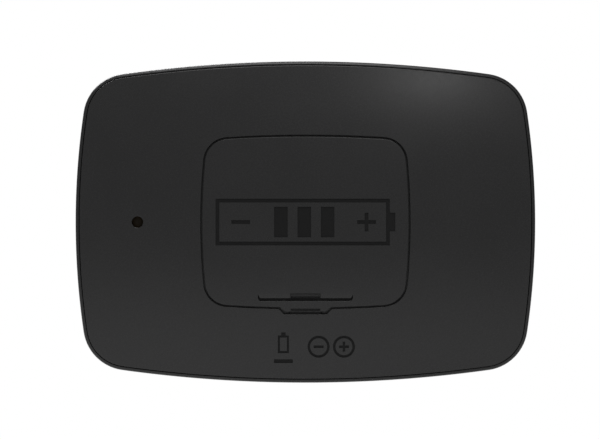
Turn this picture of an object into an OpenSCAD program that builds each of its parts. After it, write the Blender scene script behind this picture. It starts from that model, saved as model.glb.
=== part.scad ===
// Electronic parking disc for a car's windscreen: a shallow front case with a display, a parking sign and a
// solar cell behind one clear lens, and a crowned rear cover with a battery door, a snap latch and a set switch.
// +X is to the right seen from behind, +Z is up and +Y points out of the display towards the glass.
// The origin is the middle of the adhesive frame's face on the glass. A depth is a distance behind that face.

/* [Case] */
// Width of the case across its bowed sides
case_w = 113; // [92:1:137]
// Height of the case across its bowed top and bottom
case_h = 79; // [65:1:96]
// Radius of the bow of the two sides
case_side_r = 194; // [150:1:260]
// Radius of the bow of the top and the bottom
case_top_r = 336; // [260:1:450]
// Radius of the case's corners
case_corner_r = 11; // [8.5:0.5:14]
// Width of the case's rim round the rear cover
rim_w = 0.78; // [0.7:0.02:1.1]
// Gap between the rim and the rear cover
groove_w = 0.26; // [0.16:0.02:0.4]
// Width of the rounded edge at the front of the case
front_edge_w = 1.2; // [0.8:0.1:1.6]
// Depth of the rounded edge at the front of the case
front_edge_d = 2.6; // [2:0.1:4]
// Thickness of the case's front wall, behind the lens
front_wall = 1.2; // [1:0.1:1.8]

/* [Rear cover] */
// Thickness of the rear cover's skin
skin = 1.8; // [1.7:0.1:2.4]
// Thickness of the rear cover's side wall
cover_wall = 1.5; // [1.2:0.1:2]
// How far the crown falls from its middle to the sides
crown_fall_x = 3.6; // [2.5:0.1:4.5]
// How far the crown falls from its middle to the top and bottom
crown_fall_z = 3.8; // [2.5:0.1:4.5]
// How far the rim lies below the crown
rim_step = 0.3; // [0.1:0.1:1]
// How deep the cover's edge sits inside the rim at the corners
seat_depth = 2.2; // [1.8:0.1:3]

/* [Battery door] */
// How far the door reaches past the battery bay at its left and right
door_reach_x = 0; // [0:0.1:2]
// How far the door reaches past the battery bay at its top and bottom
door_reach_z = 4.55; // [4.4:0.05:6]
// Radius of the bow of the door's sides
door_side_r = 162; // [130:1:220]
// Radius of the bow of the door's top and bottom
door_top_r = 316; // [250:1:400]
// Radius of the door's corners
door_corner_r = 5.6; // [4.5:0.1:7]
// Thickness of the battery door
door_t = 1.5; // [1.2:0.1:1.6]
// Gap round the battery door
door_gap = 0.22; // [0.15:0.01:0.35]
// Width of the ledge that the door rests on
ledge_w = 1.2; // [1:0.1:1.5]
// Thickness of the foam pad on the door's inner face
foam_t = 0.6; // [0.4:0.05:0.7]

/* [Latch] */
// Length of the latch strip between its two roots
latch_len = 23.4; // [20:0.1:27]
// Width of the strip between the slot and the door's edge
latch_strip_w = 1.85; // [1.6:0.05:2.2]
// Width of the slot that lets the strip flex
slot_w = 0.6; // [0.55:0.05:0.8]
// Width of the cover's notch for the finger tab, at the door's edge
notch_root_w = 13.2; // [11:0.1:15]
// Width of the cover's notch at its end
notch_end_w = 10.4; // [9:0.1:11]
// How far the finger tab stands out of the door's edge
tab_out = 0.8; // [0.5:0.05:1]
// Gap for a fingernail between the tab and the notch's end
nail_gap = 0.5; // [0.4:0.05:0.9]
// Width of the hook and of the window above it
hook_w = 7.6; // [6:0.1:9]
// How far the hook reaches under the rear cover
hook_bite = 0.42; // [0.3:0.02:0.45]
// Width of the finger scoop above the slot
scoop_w = 1.5; // [1.2:0.1:1.8]
// Depth of the finger scoop where it meets the slot
scoop_d = 0.8; // [0.5:0.05:1]
// Height of the window above the slot
window_h = 1.25; // [1:0.05:1.4]

/* [Moulded marks] */
// Margin between the cell outline on the battery door and the door's sides
mark_margin = 3.6; // [2:0.1:8]
// Height of the cell outline on the battery door
mark_h = 11.4; // [8:0.2:14]
// Width of the marks' strokes
stroke_w = 0.9; // [0.6:0.1:1.2]
// Height of the two round signs and of the small upright cell below the door
sign_h = 5.4; // [4:0.2:6]
// Depth of the marks
mark_d = 0.2; // [0.1:0.05:0.4]

/* [Door tabs] */
// Distance of each door tab from the middle
door_tab_x = 10; // [8:0.5:16]
// Width of each door tab
door_tab_w = 5; // [4:0.5:6]
// Inner radius of the curved door tabs about the line on which the door swings
door_tab_r = 2.2; // [2:0.1:2.5]
// Thickness of the door tabs
door_tab_t = 1.0; // [0.8:0.1:1.1]
// How far the tabs reach round under the cover, in degrees
door_tab_reach = 58; // [50:1:60]

/* [Batteries] */
// Diameter of a battery cell
cell_d = 10.5; // [8.3:0.1:12.6]
// Length of a battery cell with its plus nub
cell_len = 44.5; // [37:0.1:54]
// Gap between two cells
cell_gap = 0.7; // [0.5:0.1:1.5]
// Length of the plus nub
nub_len = 1.0; // [0.8:0.1:1.3]
// Diameter of the plus nub
nub_d = 3.8; // [3:0.1:5]
// Thickness of the bay's walls and floor
bay_wall = 0.9; // [0.8:0.1:1.2]
// Length left for a compressed contact spring
spring_len = 4.7; // [4:0.1:5]
// Thickness of the contact plates
plate_t = 0.3; // [0.2:0.05:0.4]
// Height of the dimple that touches a plus nub
dimple_h = 0.8; // [0.6:0.1:1]

/* [Display side] */
// Thickness of the adhesive frame
adhesive_t = 0.8; // [0.5:0.1:1.2]
// Width of the adhesive frame
adhesive_w = 2.8; // [2:0.1:3]
// Thickness of the lens
lens_t = 1.2; // [1:0.1:2]
// Thickness of the printed mask
mask_t = 0.2; // [0.15:0.05:0.3]
// Width of the bezel round the lens
bezel_w = 3.0; // [2.9:0.1:3.4]
// Least width of the printed margin round the display windows
margin_w = 4.6; // [4.2:0.1:6]
// Width of the parking sign
sign_w = 28; // [24:0.5:32]
// Height of the solar cell
solar_h = 13; // [9:0.5:15]
// Gap between the display, the sign and the solar cell
panel_gap = 3.6; // [2.5:0.1:5]
// Thickness of each of the display's two glasses
glass_t = 0.9; // [0.7:0.1:1.1]
// Thickness of the solar cell
solar_t = 1.1; // [0.9:0.1:1.3]

/* [Circuit board] */
// Thickness of the circuit board
board_t = 1.0; // [0.8:0.1:1.2]
// Thickness of the foam between the display and the board
board_foam_t = 0.4; // [0.3:0.1:0.8]
// Room for flat parts between the board and the bay's floor
board_room = 0.9; // [0.8:0.1:1.5]
// Distance of the set switch from the case's side
switch_inset = 15.3; // [14:0.1:16.5]
// Diameter of the hole through which a pen tip reaches the set switch
set_hole_d = 2.8; // [2.2:0.1:3.2]
// Diameter of the set switch's plunger
plunger_d = 3.5; // [3:0.1:4]
// Travel of the set switch
plunger_travel = 0.3; // [0.2:0.05:0.4]

/* [Hidden] */

play = 0.05;             // gap between parts that are pushed or glued together
fit_gap = 0.15;          // gap between parts that drop in
eps = 0.01;
far = 60;                // longer than any cut has to be
dome_fn = 720;
round_fn = 48;

// Half sizes of the outlines
case_a = case_w / 2;
case_b = case_h / 2;
case_wall = rim_w + groove_w + cover_wall;
cell_pitch = cell_d + cell_gap;
bay_a = plate_t + (cell_len + spring_len + dimple_h) / 2 + plate_t;
bay_b = cell_pitch + cell_d / 2 + 2 * fit_gap;
door_a = bay_a + door_reach_x;
door_b = bay_b + door_reach_z;
mark_w = 2 * (door_a - mark_margin);

// Curvature of the crowned back: a ring surface, whose two radii follow from how far it falls
crown_rx = (case_a * case_a + crown_fall_x * crown_fall_x) / (2 * crown_fall_x);
crown_rz = (case_b * case_b + crown_fall_z * crown_fall_z) / (2 * crown_fall_z);
ring_r = crown_rx - crown_rz;
function fall(x, z) = crown_rx - sqrt(pow(ring_r + sqrt(crown_rz * crown_rz - z * z), 2) - x * x);

// Depths, from the glass towards the back
lens_front = adhesive_t;
lens_back = lens_front + lens_t;
mask_back = lens_back + mask_t;
polariser_t = 0.2;
display_back = mask_back + 2 * glass_t + 2 * polariser_t;
front_wall_back = mask_back + front_wall;
board_front = display_back + board_foam_t;
board_back = board_front + board_t;
bay_floor_front = board_back + board_room;
bay_floor_back = bay_floor_front + bay_wall;
cell_axis = bay_floor_back + 2 * play + cell_d / 2;
cell_top = cell_axis + cell_d / 2;
door_inner = cell_top + fit_gap + 2 * play + fall(cell_len / 2, cell_pitch);
back = door_inner + door_t;
corner_centre = barrel_corner(case_a, case_b, case_side_r, case_top_r, case_corner_r);
corner_at = corner_centre + case_corner_r * [cos(45), sin(45)];
seat_back = back - fall(corner_at.x, corner_at.y) - rim_step - seat_depth;

// Battery bay: a deep well for the cells, and above it a shallow one for the door's tabs and latch
door_tab_out_r = door_tab_r + door_tab_t;
hinge_back = back - fall(0, door_b);
shallow_floor_back = hinge_back - door_tab_out_r - 2 * fit_gap;
well_a = door_a + 2 * fit_gap + door_gap;
well_b = door_b + door_tab_out_r + 2 * fit_gap;
ledge_gap = 0.1;
ledge_low = door_t + ledge_gap + 1.1; // from the crown to the underside of the ledge

// Latch
strip_top = -door_b + latch_strip_w;
slot_top = strip_top + slot_w;
tab_end = -door_b - tab_out;
nail_edge = tab_end - nail_gap;
hook_face = skin + 2 * fit_gap;
hook_depth = hook_face + 0.9; // from the door's outer face to the hook's lowest point
leg_t = 1.05;

// Set switch
switch_x = -(case_a - switch_inset);
switch_body = 6;
switch_h = 3.5;
switch_back = board_back + switch_h;
plunger_back = back - fall(switch_x, 0) - skin - 2 * fit_gap;
guide_wall = 1.1;

// Windows of the display side
view_b = corner_centre.y + 3.3;
view_a = side_edge(view_b) - bezel_w - margin_w;
panel_top = view_b - solar_h - panel_gap;
sign_low_x = view_a - sign_w;
display_high_x = sign_low_x - panel_gap;
view_lap = 0.8;          // how far each panel runs under the mask
glass_ledge = 2.6;       // the front glass's contact edge, past the rear glass

// Screws of the circuit board
screw_d = 2.0;
screw_head_d = 3.8;
screw_head_h = 1.3;
boss_d = 4.4;
boss_inset = 5.6;
screw_len = 2.6;
screw_x = case_a * 0.52; // along the bowed top and bottom edges
function top_edge(x) = case_b - case_top_r + sqrt(case_top_r * case_top_r - x * x);
function side_edge(z) = case_a - case_side_r + sqrt(case_side_r * case_side_r - z * z);
screw_at = [
    [screw_x, top_edge(screw_x) - boss_inset], [-screw_x, top_edge(screw_x) - boss_inset],
    [screw_x, -top_edge(screw_x) + boss_inset], [-screw_x, -top_edge(screw_x) + boss_inset],
    [case_a - boss_inset, 0], [-case_a + boss_inset, 0]
];

// Snap hooks that hold the rear cover in the case: place and direction outwards
snap_w = 6;
snap_x = case_a * 0.3;
snap_at = [
    [snap_x, top_edge(snap_x) - case_wall, 90], [-snap_x, top_edge(snap_x) - case_wall, 90],
    [snap_x, -top_edge(snap_x) + case_wall, -90], [-snap_x, -top_edge(snap_x) + case_wall, -90]
];

// Board parts to the right of the bay
parts_x = (bay_a + bay_wall + case_a - case_wall) / 2;

black = [0.09, 0.09, 0.095];
steel = [0.72, 0.72, 0.70];
green = [0.08, 0.25, 0.16];

// ---- Outlines ----

// Centre of the corner circle that touches the side arc and the top arc of a barrel outline from inside
function barrel_corner(a, b, rs, rt, rc) =
    let (sx = a - rs, ty = b - rt, r1 = rs - rc, r2 = rt - rc, d = norm([sx, ty]),
        k = (r1 * r1 - r2 * r2 + d * d) / (2 * d), h = sqrt(r1 * r1 - k * k))
    [sx - k * sx / d - h * ty / d, k * ty / d - h * sx / d];

// A quarter of a barrel outline, from its right-most point to its top, with n steps a side and m a corner
function barrel_quarter(a, b, rs, rt, rc, n, m) =
    let (c = barrel_corner(a, b, rs, rt, rc), s = [a - rs, 0], t = [0, b - rt],
        as = atan2(c.y - s.y, c.x - s.x), at = atan2(c.y - t.y, c.x - t.x))
    concat(
        [for (i = [0 : n - 1]) s + rs * [cos(as * i / n), sin(as * i / n)]],
        [for (i = [0 : m]) c + rc * [cos(as + (at - as) * i / m), sin(as + (at - as) * i / m)]],
        [for (i = [1 : n]) t + rt * [cos(at + (90 - at) * i / n), sin(at + (90 - at) * i / n)]]);

module barrel(a, b, rs, rt, rc, inset, n = 5, m = 8) {
    q = barrel_quarter(a - inset, b - inset, rs - inset, rt - inset, max(rc - inset, 1), n, m);
    last = len(q) - 1;
    polygon(concat(
        q,
        [for (i = [last - 1 : -1 : 0]) [-q[i].x, q[i].y]],
        [for (i = [1 : last]) [-q[i].x, -q[i].y]],
        [for (i = [last - 1 : -1 : 1]) [q[i].x, -q[i].y]]));
}

module case_outline(inset) barrel(case_a, case_b, case_side_r, case_top_r, case_corner_r, inset);

module door_outline(inset) barrel(door_a, door_b, door_side_r, door_top_r, door_corner_r, inset);

// Half the width of the notch for the finger tab at a height
function notch_half(z) = (notch_root_w + (notch_end_w - notch_root_w) * (-door_b - z) / (tab_out + nail_gap)) / 2;

module tab_outline(inset, reach) {
    root = notch_half(-door_b) - inset;
    end = notch_half(reach) - inset;
    polygon([[-root, -door_b + 1], [root, -door_b + 1], [root, -door_b], [end, reach], [-end, reach],
        [-root, -door_b]]);
}

// A flat outline made solid between two depths
module between(near, deep) {
    translate([0, -near, 0]) rotate([90, 0, 0]) linear_extrude(deep - near) children();
}

// A box between two depths
module block(low, high, near, deep) {
    translate([low.x, -deep, low.y]) cube([high.x - low.x, deep - near, high.y - low.y]);
}

// A rod along the depth
module rod(at, d, near, deep) {
    translate([at.x, -near, at.y]) rotate([90, 0, 0]) cylinder(d = d, h = deep - near, $fn = round_fn);
}

// What lies under the crowned back, lowered by a given depth
module crown(lower) {
    half_turn = asin(min(0.5, (case_a + 12) / (crown_rx - case_a)));
    translate([0, crown_rx - back, 0]) rotate([0, 0, -90 - half_turn])
        rotate_extrude(angle = 2 * half_turn, $fn = dome_fn) intersection() {
            translate([ring_r, 0]) circle(r = crown_rz - lower, $fn = dome_fn);
            translate([crown_rx - back - case_b / 4, -far]) square([2 * far, 2 * far]);
        }
}

// The layer between two depths below the crowned back
module crown_layer(from, to) {
    difference() {
        crown(from);
        crown(to);
    }
}

// ---- Case ----

module front_case() color(black) {
    difference() {
        union() {
            hull() {
                between(lens_front, lens_front + eps) case_outline(front_edge_w);
                between(lens_front + front_edge_d, lens_front + front_edge_d + eps) case_outline(0);
            }
            intersection() {
                between(lens_front + front_edge_d, back) case_outline(0);
                crown(rim_step);
            }
        }
        between(lens_front - 1, mask_back) case_outline(bezel_w);
        between(mask_back - 1, front_wall_back + 1)
            square(2 * [view_a + view_lap + fit_gap, view_b + view_lap + fit_gap], center = true);
        between(front_wall_back, back) case_outline(case_wall);
        between(seat_back, back) case_outline(rim_w);
        for (s = snap_at) snap_pocket(s);
        for (p = screw_at) rod(p, screw_d, board_back - screw_len - fit_gap, front_wall_back + 1);
    }
    for (p = screw_at) difference() {
        rod(p, boss_d, front_wall_back - eps, board_front);
        rod(p, screw_d, front_wall_back - 1, board_front + 1);
    }
}

module snap_pocket(s) {
    translate([s.x, 0, s.y]) rotate([0, -s[2], 0])
        translate([-1, -(seat_back - 1.2), -snap_w / 2 - 0.5]) cube([1.8, 1.6, snap_w + 1]);
}

module snap_hook(s) {
    translate([s.x, 0, s.y]) rotate([0, -s[2], 0]) {
        translate([-1.35, -(seat_back + 1.2), -snap_w / 2]) cube([1.2, 4.2, snap_w]);
        translate([-1.35, -(seat_back + 1.2), -snap_w / 2]) cube([1.8, 1, snap_w]);
        translate([-1, -(seat_back - 1.5), -snap_w / 2]) cube([1.4, 0.9, snap_w]);
    }
}

module rear_cover() color(black) {
    difference() {
        union() {
            intersection() {
                between(seat_back, back + 1) difference() {
                    case_outline(rim_w + groove_w);
                    case_outline(case_wall);
                }
                crown(0);
            }
            intersection() {
                between(seat_back, back + 1) case_outline(case_wall - 0.5);
                crown_layer(0, skin);
            }
            intersection() {
                between(0, back + 1) square(2 * [well_a + bay_wall, well_b + bay_wall], center = true);
                crown_layer(skin / 2, ledge_low);
            }
            intersection() {
                rod([switch_x, 0], plunger_d + 2 * guide_wall + 4 * fit_gap, switch_back + 0.9, back);
                crown(skin / 2);
            }
            for (s = snap_at) snap_hook(s);
        }
        between(0, back + 1) door_outline(ledge_w);
        difference() {
            between(0, back + 1) door_opening();
            crown(door_t + ledge_gap);
        }
        for (side = [-1, 1]) door_tab_room(side * door_tab_x);
        hook_room();
        rod([switch_x, 0], set_hole_d, plunger_back - 1, back + 1);
        rod([switch_x, 0], plunger_d + 4 * fit_gap, switch_back, plunger_back + fit_gap);
        sunk_in_crown() cover_marks();
    }
}

// What a flat drawing takes away when it is sunk into the crowned back
module sunk_in_crown() {
    difference() {
        between(shallow_floor_back, back + 1) children();
        crown(mark_d);
    }
}

// A cell seen from the side, with its nub to the right
module cell_mark(w, h) {
    difference() {
        square([w, h], center = true);
        square([w - 2 * stroke_w, h - 2 * stroke_w], center = true);
    }
    translate([w / 2, -h / 5]) square([1.5 * stroke_w, 2 * h / 5]);
}

module minus_mark(w) square([w, stroke_w], center = true);

module plus_mark(w) {
    minus_mark(w);
    rotate(90) minus_mark(w);
}

module round_mark(d) {
    difference() {
        circle(d = d, $fn = round_fn);
        circle(d = d - 2 * stroke_w * 0.8, $fn = round_fn);
    }
}

// A wide cell with its signs and three bars between them
module door_mark() {
    translate([-stroke_w * 0.75, 0]) cell_mark(mark_w - 1.5 * stroke_w, mark_h);
    translate([-mark_w * 0.36, 0]) minus_mark(mark_h * 0.4);
    translate([mark_w * 0.34, 0]) plus_mark(mark_h * 0.4);
    for (i = [-1 : 1]) translate([(i - 0.05) * mark_w * 0.13, 0])
        square([mark_w * 0.075, mark_h - 4.4 * stroke_w], center = true);
}

// A small upright cell over a bar, and the two signs in rings
module cover_marks() {
    mid = (nail_edge - case_b + case_wall) / 2 - 0.8;
    translate([-sign_h, mid + 0.6]) rotate(90) cell_mark(sign_h * 0.8, sign_h * 0.5);
    translate([-sign_h, mid - sign_h * 0.66]) minus_mark(sign_h * 0.85);
    for (i = [0, 1]) translate([sign_h * (0.6 + 1.15 * i), mid]) {
        round_mark(sign_h);
        if (i == 0) minus_mark(sign_h * 0.45);
        if (i == 1) plus_mark(sign_h * 0.45);
    }
}

// The tray below the rear cover: a deep well for the cells, and above it a shallow one that the door's tabs
// and the latch's hook reach into
module battery_tray() color(black) {
    difference() {
        union() {
            block([-bay_a - bay_wall, -bay_b - bay_wall], [bay_a + bay_wall, bay_b + bay_wall],
                bay_floor_front, shallow_floor_back);
            intersection() {
                block([-well_a - bay_wall, -well_b - bay_wall], [well_a + bay_wall, well_b + bay_wall],
                    shallow_floor_back - bay_wall, back);
                crown(ledge_low + play);
            }
        }
        block([-well_a, -well_b], [well_a, well_b], shallow_floor_back, back);
        block([-bay_a, -bay_b], [bay_a, bay_b], bay_floor_back, back);
        contact_slots();
    }
    cell_cradles();
}

module door_opening() {
    door_outline(-door_gap);
    tab_outline(0, nail_edge);
}

// Room in which a door tab turns
module door_tab_room(x) {
    w = door_tab_w + 4 * fit_gap;
    translate([x - w / 2, -hinge_back, door_b]) rotate([90, 0, 90])
        intersection() {
            difference() {
                cylinder(r = door_tab_out_r + fit_gap, h = w, $fn = round_fn);
                translate([0, 0, -1]) cylinder(r = door_tab_r - fit_gap, h = w + 2, $fn = round_fn);
            }
            linear_extrude(w) polygon([
                [0, 0], [2, -far], [far, -far], [far, far],
                far * [cos(door_tab_reach + 6), sin(door_tab_reach + 6)]
            ]);
        }
}

// Room behind the rear cover's edge for the hook, and its way past the ledge
module hook_room() {
    half = hook_w / 2 + 2 * fit_gap;
    tip = nail_edge - hook_bite - 2 * fit_gap;
    intersection() {
        block([-half, tip], [half, nail_edge + eps], shallow_floor_back, back);
        crown(skin);
    }
    block([-half, nail_edge], [half, -door_b + ledge_w + 1], shallow_floor_back, back + 1);
}

// Ribs across the bay's floor, shaped to the cells
module cell_cradles() {
    for (x = [-1, 1] * cell_len / 4) difference() {
        block([x - 0.6, -bay_b - play], [x + 0.6, bay_b + play], bay_floor_back - play, bay_floor_back + 2.6);
        for (k = [-1 : 1]) translate([x - 2, -cell_axis, k * cell_pitch]) rotate([0, 90, 0])
            cylinder(d = cell_d + 2 * fit_gap, h = 4, $fn = round_fn);
    }
}

// ---- Battery door and latch ----

module battery_door() color(black) {
    difference() {
        intersection() {
            between(0, back + 1) door_outline(0);
            crown_layer(0, door_t);
        }
        block([-latch_len / 2, -far], [latch_len / 2, slot_top], 0, back + 1);
        block([-hook_w / 2, -far], [hook_w / 2, slot_top + window_h], 0, back + 1);
        finger_scoop();
        sunk_in_crown() door_mark();
    }
    for (side = [-1, 1]) door_tab(side * door_tab_x);
}

// The scoop slopes from the door's face down to the slot
module finger_scoop() {
    top = back - fall(0, slot_top);
    translate([-latch_len / 2, 0, 0]) rotate([90, 0, 90]) linear_extrude(latch_len)
        polygon([
            [-top - 1, slot_top - eps], [-top + scoop_d, slot_top - eps],
            [-top - 0.1, slot_top + scoop_w], [-top - 1, slot_top + scoop_w]
        ]);
}

// A curved tab about the line on which the door swings: it passes under the rear cover's edge
module door_tab(x) {
    intersection() {
        translate([x - door_tab_w / 2, -hinge_back, door_b]) rotate([90, 0, 90])
            intersection() {
                difference() {
                    cylinder(r = door_tab_out_r, h = door_tab_w, $fn = round_fn);
                    translate([0, 0, -1]) cylinder(r = door_tab_r, h = door_tab_w + 2, $fn = round_fn);
                }
                linear_extrude(door_tab_w) polygon([
                    [0, 0], far * [cos(-80), sin(-80)], [far, 0],
                    far * [cos(door_tab_reach), sin(door_tab_reach)]
                ]);
            }
        crown(door_t / 3);
    }
}

module door_foam() color([0.16, 0.16, 0.17]) {
    intersection() {
        between(0, back) square([cell_len * 0.66, cell_d * 0.8], center = true);
        crown_layer(door_t + play, door_t + play + foam_t);
    }
}

module latch_strip() color(black) {
    difference() {
        intersection() {
            between(0, back + 1) intersection() {
                union() {
                    door_outline(0);
                    tab_outline(door_gap, tab_end);
                }
                translate([-latch_len / 2 + 2 * play, -far]) square([latch_len - 4 * play, far + strip_top]);
            }
            crown_layer(0, door_t);
        }
        intersection() {
            block([-hook_w / 2, tab_end + 0.1], [hook_w / 2, tab_end + 0.4], 0, back + 1);
            between(back - fall(0, tab_end) - 0.5, back + 1) square(far, center = true);
        }
    }
    hook();
}

// The hook under the finger tab
module hook() {
    face = back - fall(0, tab_end);
    block([-hook_w / 2, tab_end], [hook_w / 2, tab_end + leg_t], face - hook_depth, face - door_t + 0.5);
    block([-hook_w / 2, nail_edge - hook_bite], [hook_w / 2, tab_end + eps],
        face - hook_depth, face - hook_face);
}

// ---- Batteries and contacts ----

// A cell lying along X, with its plus nub to the left (side -1) or to the right (side 1)
module cell(k, side) {
    middle = side * (spring_len - dimple_h) / 2;
    translate([middle, -cell_axis, k * cell_pitch]) rotate([0, 90 * side, 0]) {
        translate([0, 0, -cell_len / 2]) cylinder(d = cell_d, h = cell_len - nub_len, $fn = round_fn);
        translate([0, 0, cell_len / 2 - nub_len - eps]) cylinder(d = nub_d, h = nub_len + eps, $fn = round_fn);
    }
}

module battery_top() color([0.75, 0.48, 0.2]) cell(1, -1);

module battery_middle() color([0.75, 0.48, 0.2]) cell(0, 1);

module battery_bottom() color([0.75, 0.48, 0.2]) cell(-1, -1);

plate_a = bay_a - play;
plate_h = cell_d - 1.4;
plate_near = cell_axis - plate_h / 2;

// A contact plate on one side of the bay that spans the cells from k_low to k_high, with its solder tail
module plate(side, k_low, k_high) {
    low = k_low * cell_pitch - plate_h / 2;
    high = k_high * cell_pitch + plate_h / 2;
    x = side > 0 ? plate_a - plate_t : -plate_a;
    block([x, low], [x + plate_t, high], plate_near, shallow_floor_back - fit_gap);
    block([x, low + 1], [x + plate_t, low + 3], board_front + play, plate_near + eps);
}

module dimple(side, k) {
    translate([side * (plate_a - plate_t / 2), -cell_axis, k * cell_pitch]) rotate([0, -90 * side, 0])
        cylinder(d1 = 4.4, d2 = 2.4, h = plate_t / 2 + dimple_h - play, $fn = round_fn);
}

module plus_contact() color(steel) {
    plate(-1, 1, 1);
    dimple(-1, 1);
}

module left_bridge_contact() color(steel) {
    plate(-1, -1, 0);
    dimple(-1, -1);
}

module right_bridge_contact() color(steel) {
    plate(1, 0, 1);
    dimple(1, 0);
}

module minus_contact() color(steel) plate(1, -1, -1);

// Slots for the plates' tails in the bay's floor and in the circuit board
module contact_slots() {
    for (side = [-1, 1]) for (k = side < 0 ? [1, -1] : [0, -1]) {
        z = k * cell_pitch - plate_h / 2;
        x = side * (plate_a - plate_t / 2);
        block([x - plate_t / 2 - fit_gap, z + 1 - fit_gap], [x + plate_t / 2 + fit_gap, z + 3 + fit_gap],
            0, bay_floor_back + 1);
    }
}

// Points of a conical spring's wire: rings of a given number of sides along a helix
spring_turns = 4;
spring_wire = 0.6;
ring_steps = 10;
wire_sides = 6;
function spring_centre(u) =
    let (r = 3.4 - 1.1 * u, a = 360 * spring_turns * u)
    [r * cos(a), r * sin(a), spring_wire / 2 + u * (spring_len - spring_wire - 2 * play)];
function spring_ring(u) =
    let (c = spring_centre(u), a = 360 * spring_turns * u, out = [cos(a), sin(a), 0])
    [for (j = [0 : wire_sides - 1])
        let (b = 360 * j / wire_sides) c + spring_wire / 2 * (cos(b) * out + sin(b) * [0, 0, 1])];

module contact_spring(side, k) color(steel) {
    steps = spring_turns * ring_steps;
    points = [for (i = [0 : steps]) each spring_ring(i / steps)];
    walls = [for (i = [0 : steps - 1], j = [0 : wire_sides - 1])
        let (n = (j + 1) % wire_sides)
        each [
            [i * wire_sides + j, (i + 1) * wire_sides + j, (i + 1) * wire_sides + n],
            [i * wire_sides + j, (i + 1) * wire_sides + n, i * wire_sides + n]
        ]];
    ends = [
        [for (j = [0 : wire_sides - 1]) j],
        [for (j = [wire_sides - 1 : -1 : 0]) steps * wire_sides + j]
    ];
    translate([side * (plate_a - plate_t - play), -cell_axis, k * cell_pitch]) rotate([0, -90 * side, 0])
        polyhedron(points, concat(walls, ends));
}

module spring_top() contact_spring(1, 1);

module spring_middle() contact_spring(-1, 0);

module spring_bottom() contact_spring(1, -1);

// ---- Display side ----

module adhesive_frame() color([0.85, 0.87, 0.88, 0.5]) {
    between(0, adhesive_t) difference() {
        case_outline(bezel_w + 0.5);
        case_outline(bezel_w + 0.5 + adhesive_w);
    }
}

module lens() color([0.05, 0.06, 0.07, 0.4]) {
    between(lens_front, lens_back) case_outline(bezel_w + fit_gap);
}

// Corners of the three windows of the display side
display_low = [-view_a, -view_b];
display_high = [display_high_x, panel_top];
sign_low = [sign_low_x, -view_b];
sign_high = [view_a, panel_top];
solar_low = [-view_a, view_b - solar_h];
solar_high = [view_a, view_b];

module mask_print() color([0.02, 0.02, 0.02]) {
    difference() {
        between(lens_back, mask_back) case_outline(bezel_w + fit_gap);
        block(display_low, display_high, 0, back);
        block(sign_low, sign_high, 0, back);
        block(solar_low, solar_high, 0, back);
    }
}

// A panel behind a window of the mask, larger than it by the lap
module panel(low, high, near, deep) {
    lap = [view_lap, view_lap];
    block(low - lap, high + lap, near, deep);
}

// The film, glass and foam of the display start past the front glass's contact edge
film_low = display_low + [0.6, 0.6 + glass_ledge];
film_high = display_high - [0.6, 0.6];

module display_polariser() color([0.45, 0.48, 0.44]) {
    panel(film_low, film_high, mask_back, mask_back + polariser_t);
}

module display_front_glass() color([0.6, 0.66, 0.62]) {
    panel(display_low, display_high, mask_back + polariser_t, mask_back + polariser_t + glass_t);
}

module display_rear_glass() color([0.6, 0.66, 0.62]) {
    panel(display_low + [0, glass_ledge], display_high, mask_back + polariser_t + glass_t,
        mask_back + polariser_t + 2 * glass_t);
}

module display_reflector() color([0.75, 0.77, 0.72]) {
    panel(film_low, film_high, display_back - polariser_t, display_back);
}

module display_foam() color([0.12, 0.12, 0.12]) {
    difference() {
        panel(film_low, film_high, display_back, board_front);
        block(film_low + [2, 2], film_high - [2, 2], display_back - 1, board_front + 1);
    }
}

module contact_rubber() color([0.35, 0.35, 0.37]) {
    low = display_low + [4, 0.3 - view_lap];
    block(low, [display_high.x - 4, low.y + glass_ledge - 0.6], mask_back + polariser_t + glass_t, board_front);
}

module parking_sign() color([0.02, 0.16, 0.55]) panel(sign_low, sign_high, mask_back, mask_back + 0.8);

module solar_cell() color([0.06, 0.03, 0.06]) panel(solar_low, solar_high, mask_back, mask_back + solar_t);

module solar_leads() color([0.8, 0.35, 0.15]) {
    for (side = [-1, 1])
        rod([side * view_a * 0.8, solar_low.y + 2], 0.7, mask_back + solar_t, board_front);
}

// ---- Circuit board ----

module circuit_board() color(green) {
    difference() {
        between(board_front, board_back) case_outline(case_wall + 0.6);
        for (p = screw_at) rod(p, screw_d + 2 * fit_gap, board_front - 1, board_back + 1);
        contact_slots();
        for (p = switch_leg_at) block(p - [0.5, 0.3], p + [0.5, 0.3], board_front - 1, board_back + 1);
    }
}

module board_screws() color(steel) {
    for (p = screw_at) difference() {
        union() {
            rod(p, screw_d, board_back - screw_len, board_back + eps);
            rod(p, screw_head_d, board_back, board_back + screw_head_h);
        }
        for (turn = [0, 90]) translate([p.x, -board_back - screw_head_h, p.y]) rotate([0, turn, 0])
            cube([2.2, 1.4, 0.5], center = true);
    }
}

chip_at = [parts_x, case_b * 0.25];
chip_w = 9;
module controller_chip() color([0.05, 0.05, 0.05]) {
    block(chip_at - [chip_w / 2, chip_w / 2], chip_at + [chip_w / 2, chip_w / 2], board_back + 0.1, board_back + 1.6);
}

module controller_legs() color(steel) {
    for (turn = [0 : 90 : 270]) translate([chip_at.x, 0, chip_at.y]) rotate([0, turn, 0])
        for (i = [-3.5 : 3.5]) block([chip_w / 2 + play, i - 0.18], [chip_w / 2 + 1.1, i + 0.18],
            board_back, board_back + 0.5);
}

module charge_chip() color([0.05, 0.05, 0.05]) {
    block([parts_x - 6, -case_b * 0.12 - 2], [parts_x - 1, -case_b * 0.12 + 2], board_back, board_back + 1.5);
}

module motion_sensor() color([0.14, 0.14, 0.15]) {
    block([parts_x + 3, -case_b * 0.12 - 1.5], [parts_x + 6, -case_b * 0.12 + 1.5], board_back, board_back + 1.0);
}

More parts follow.
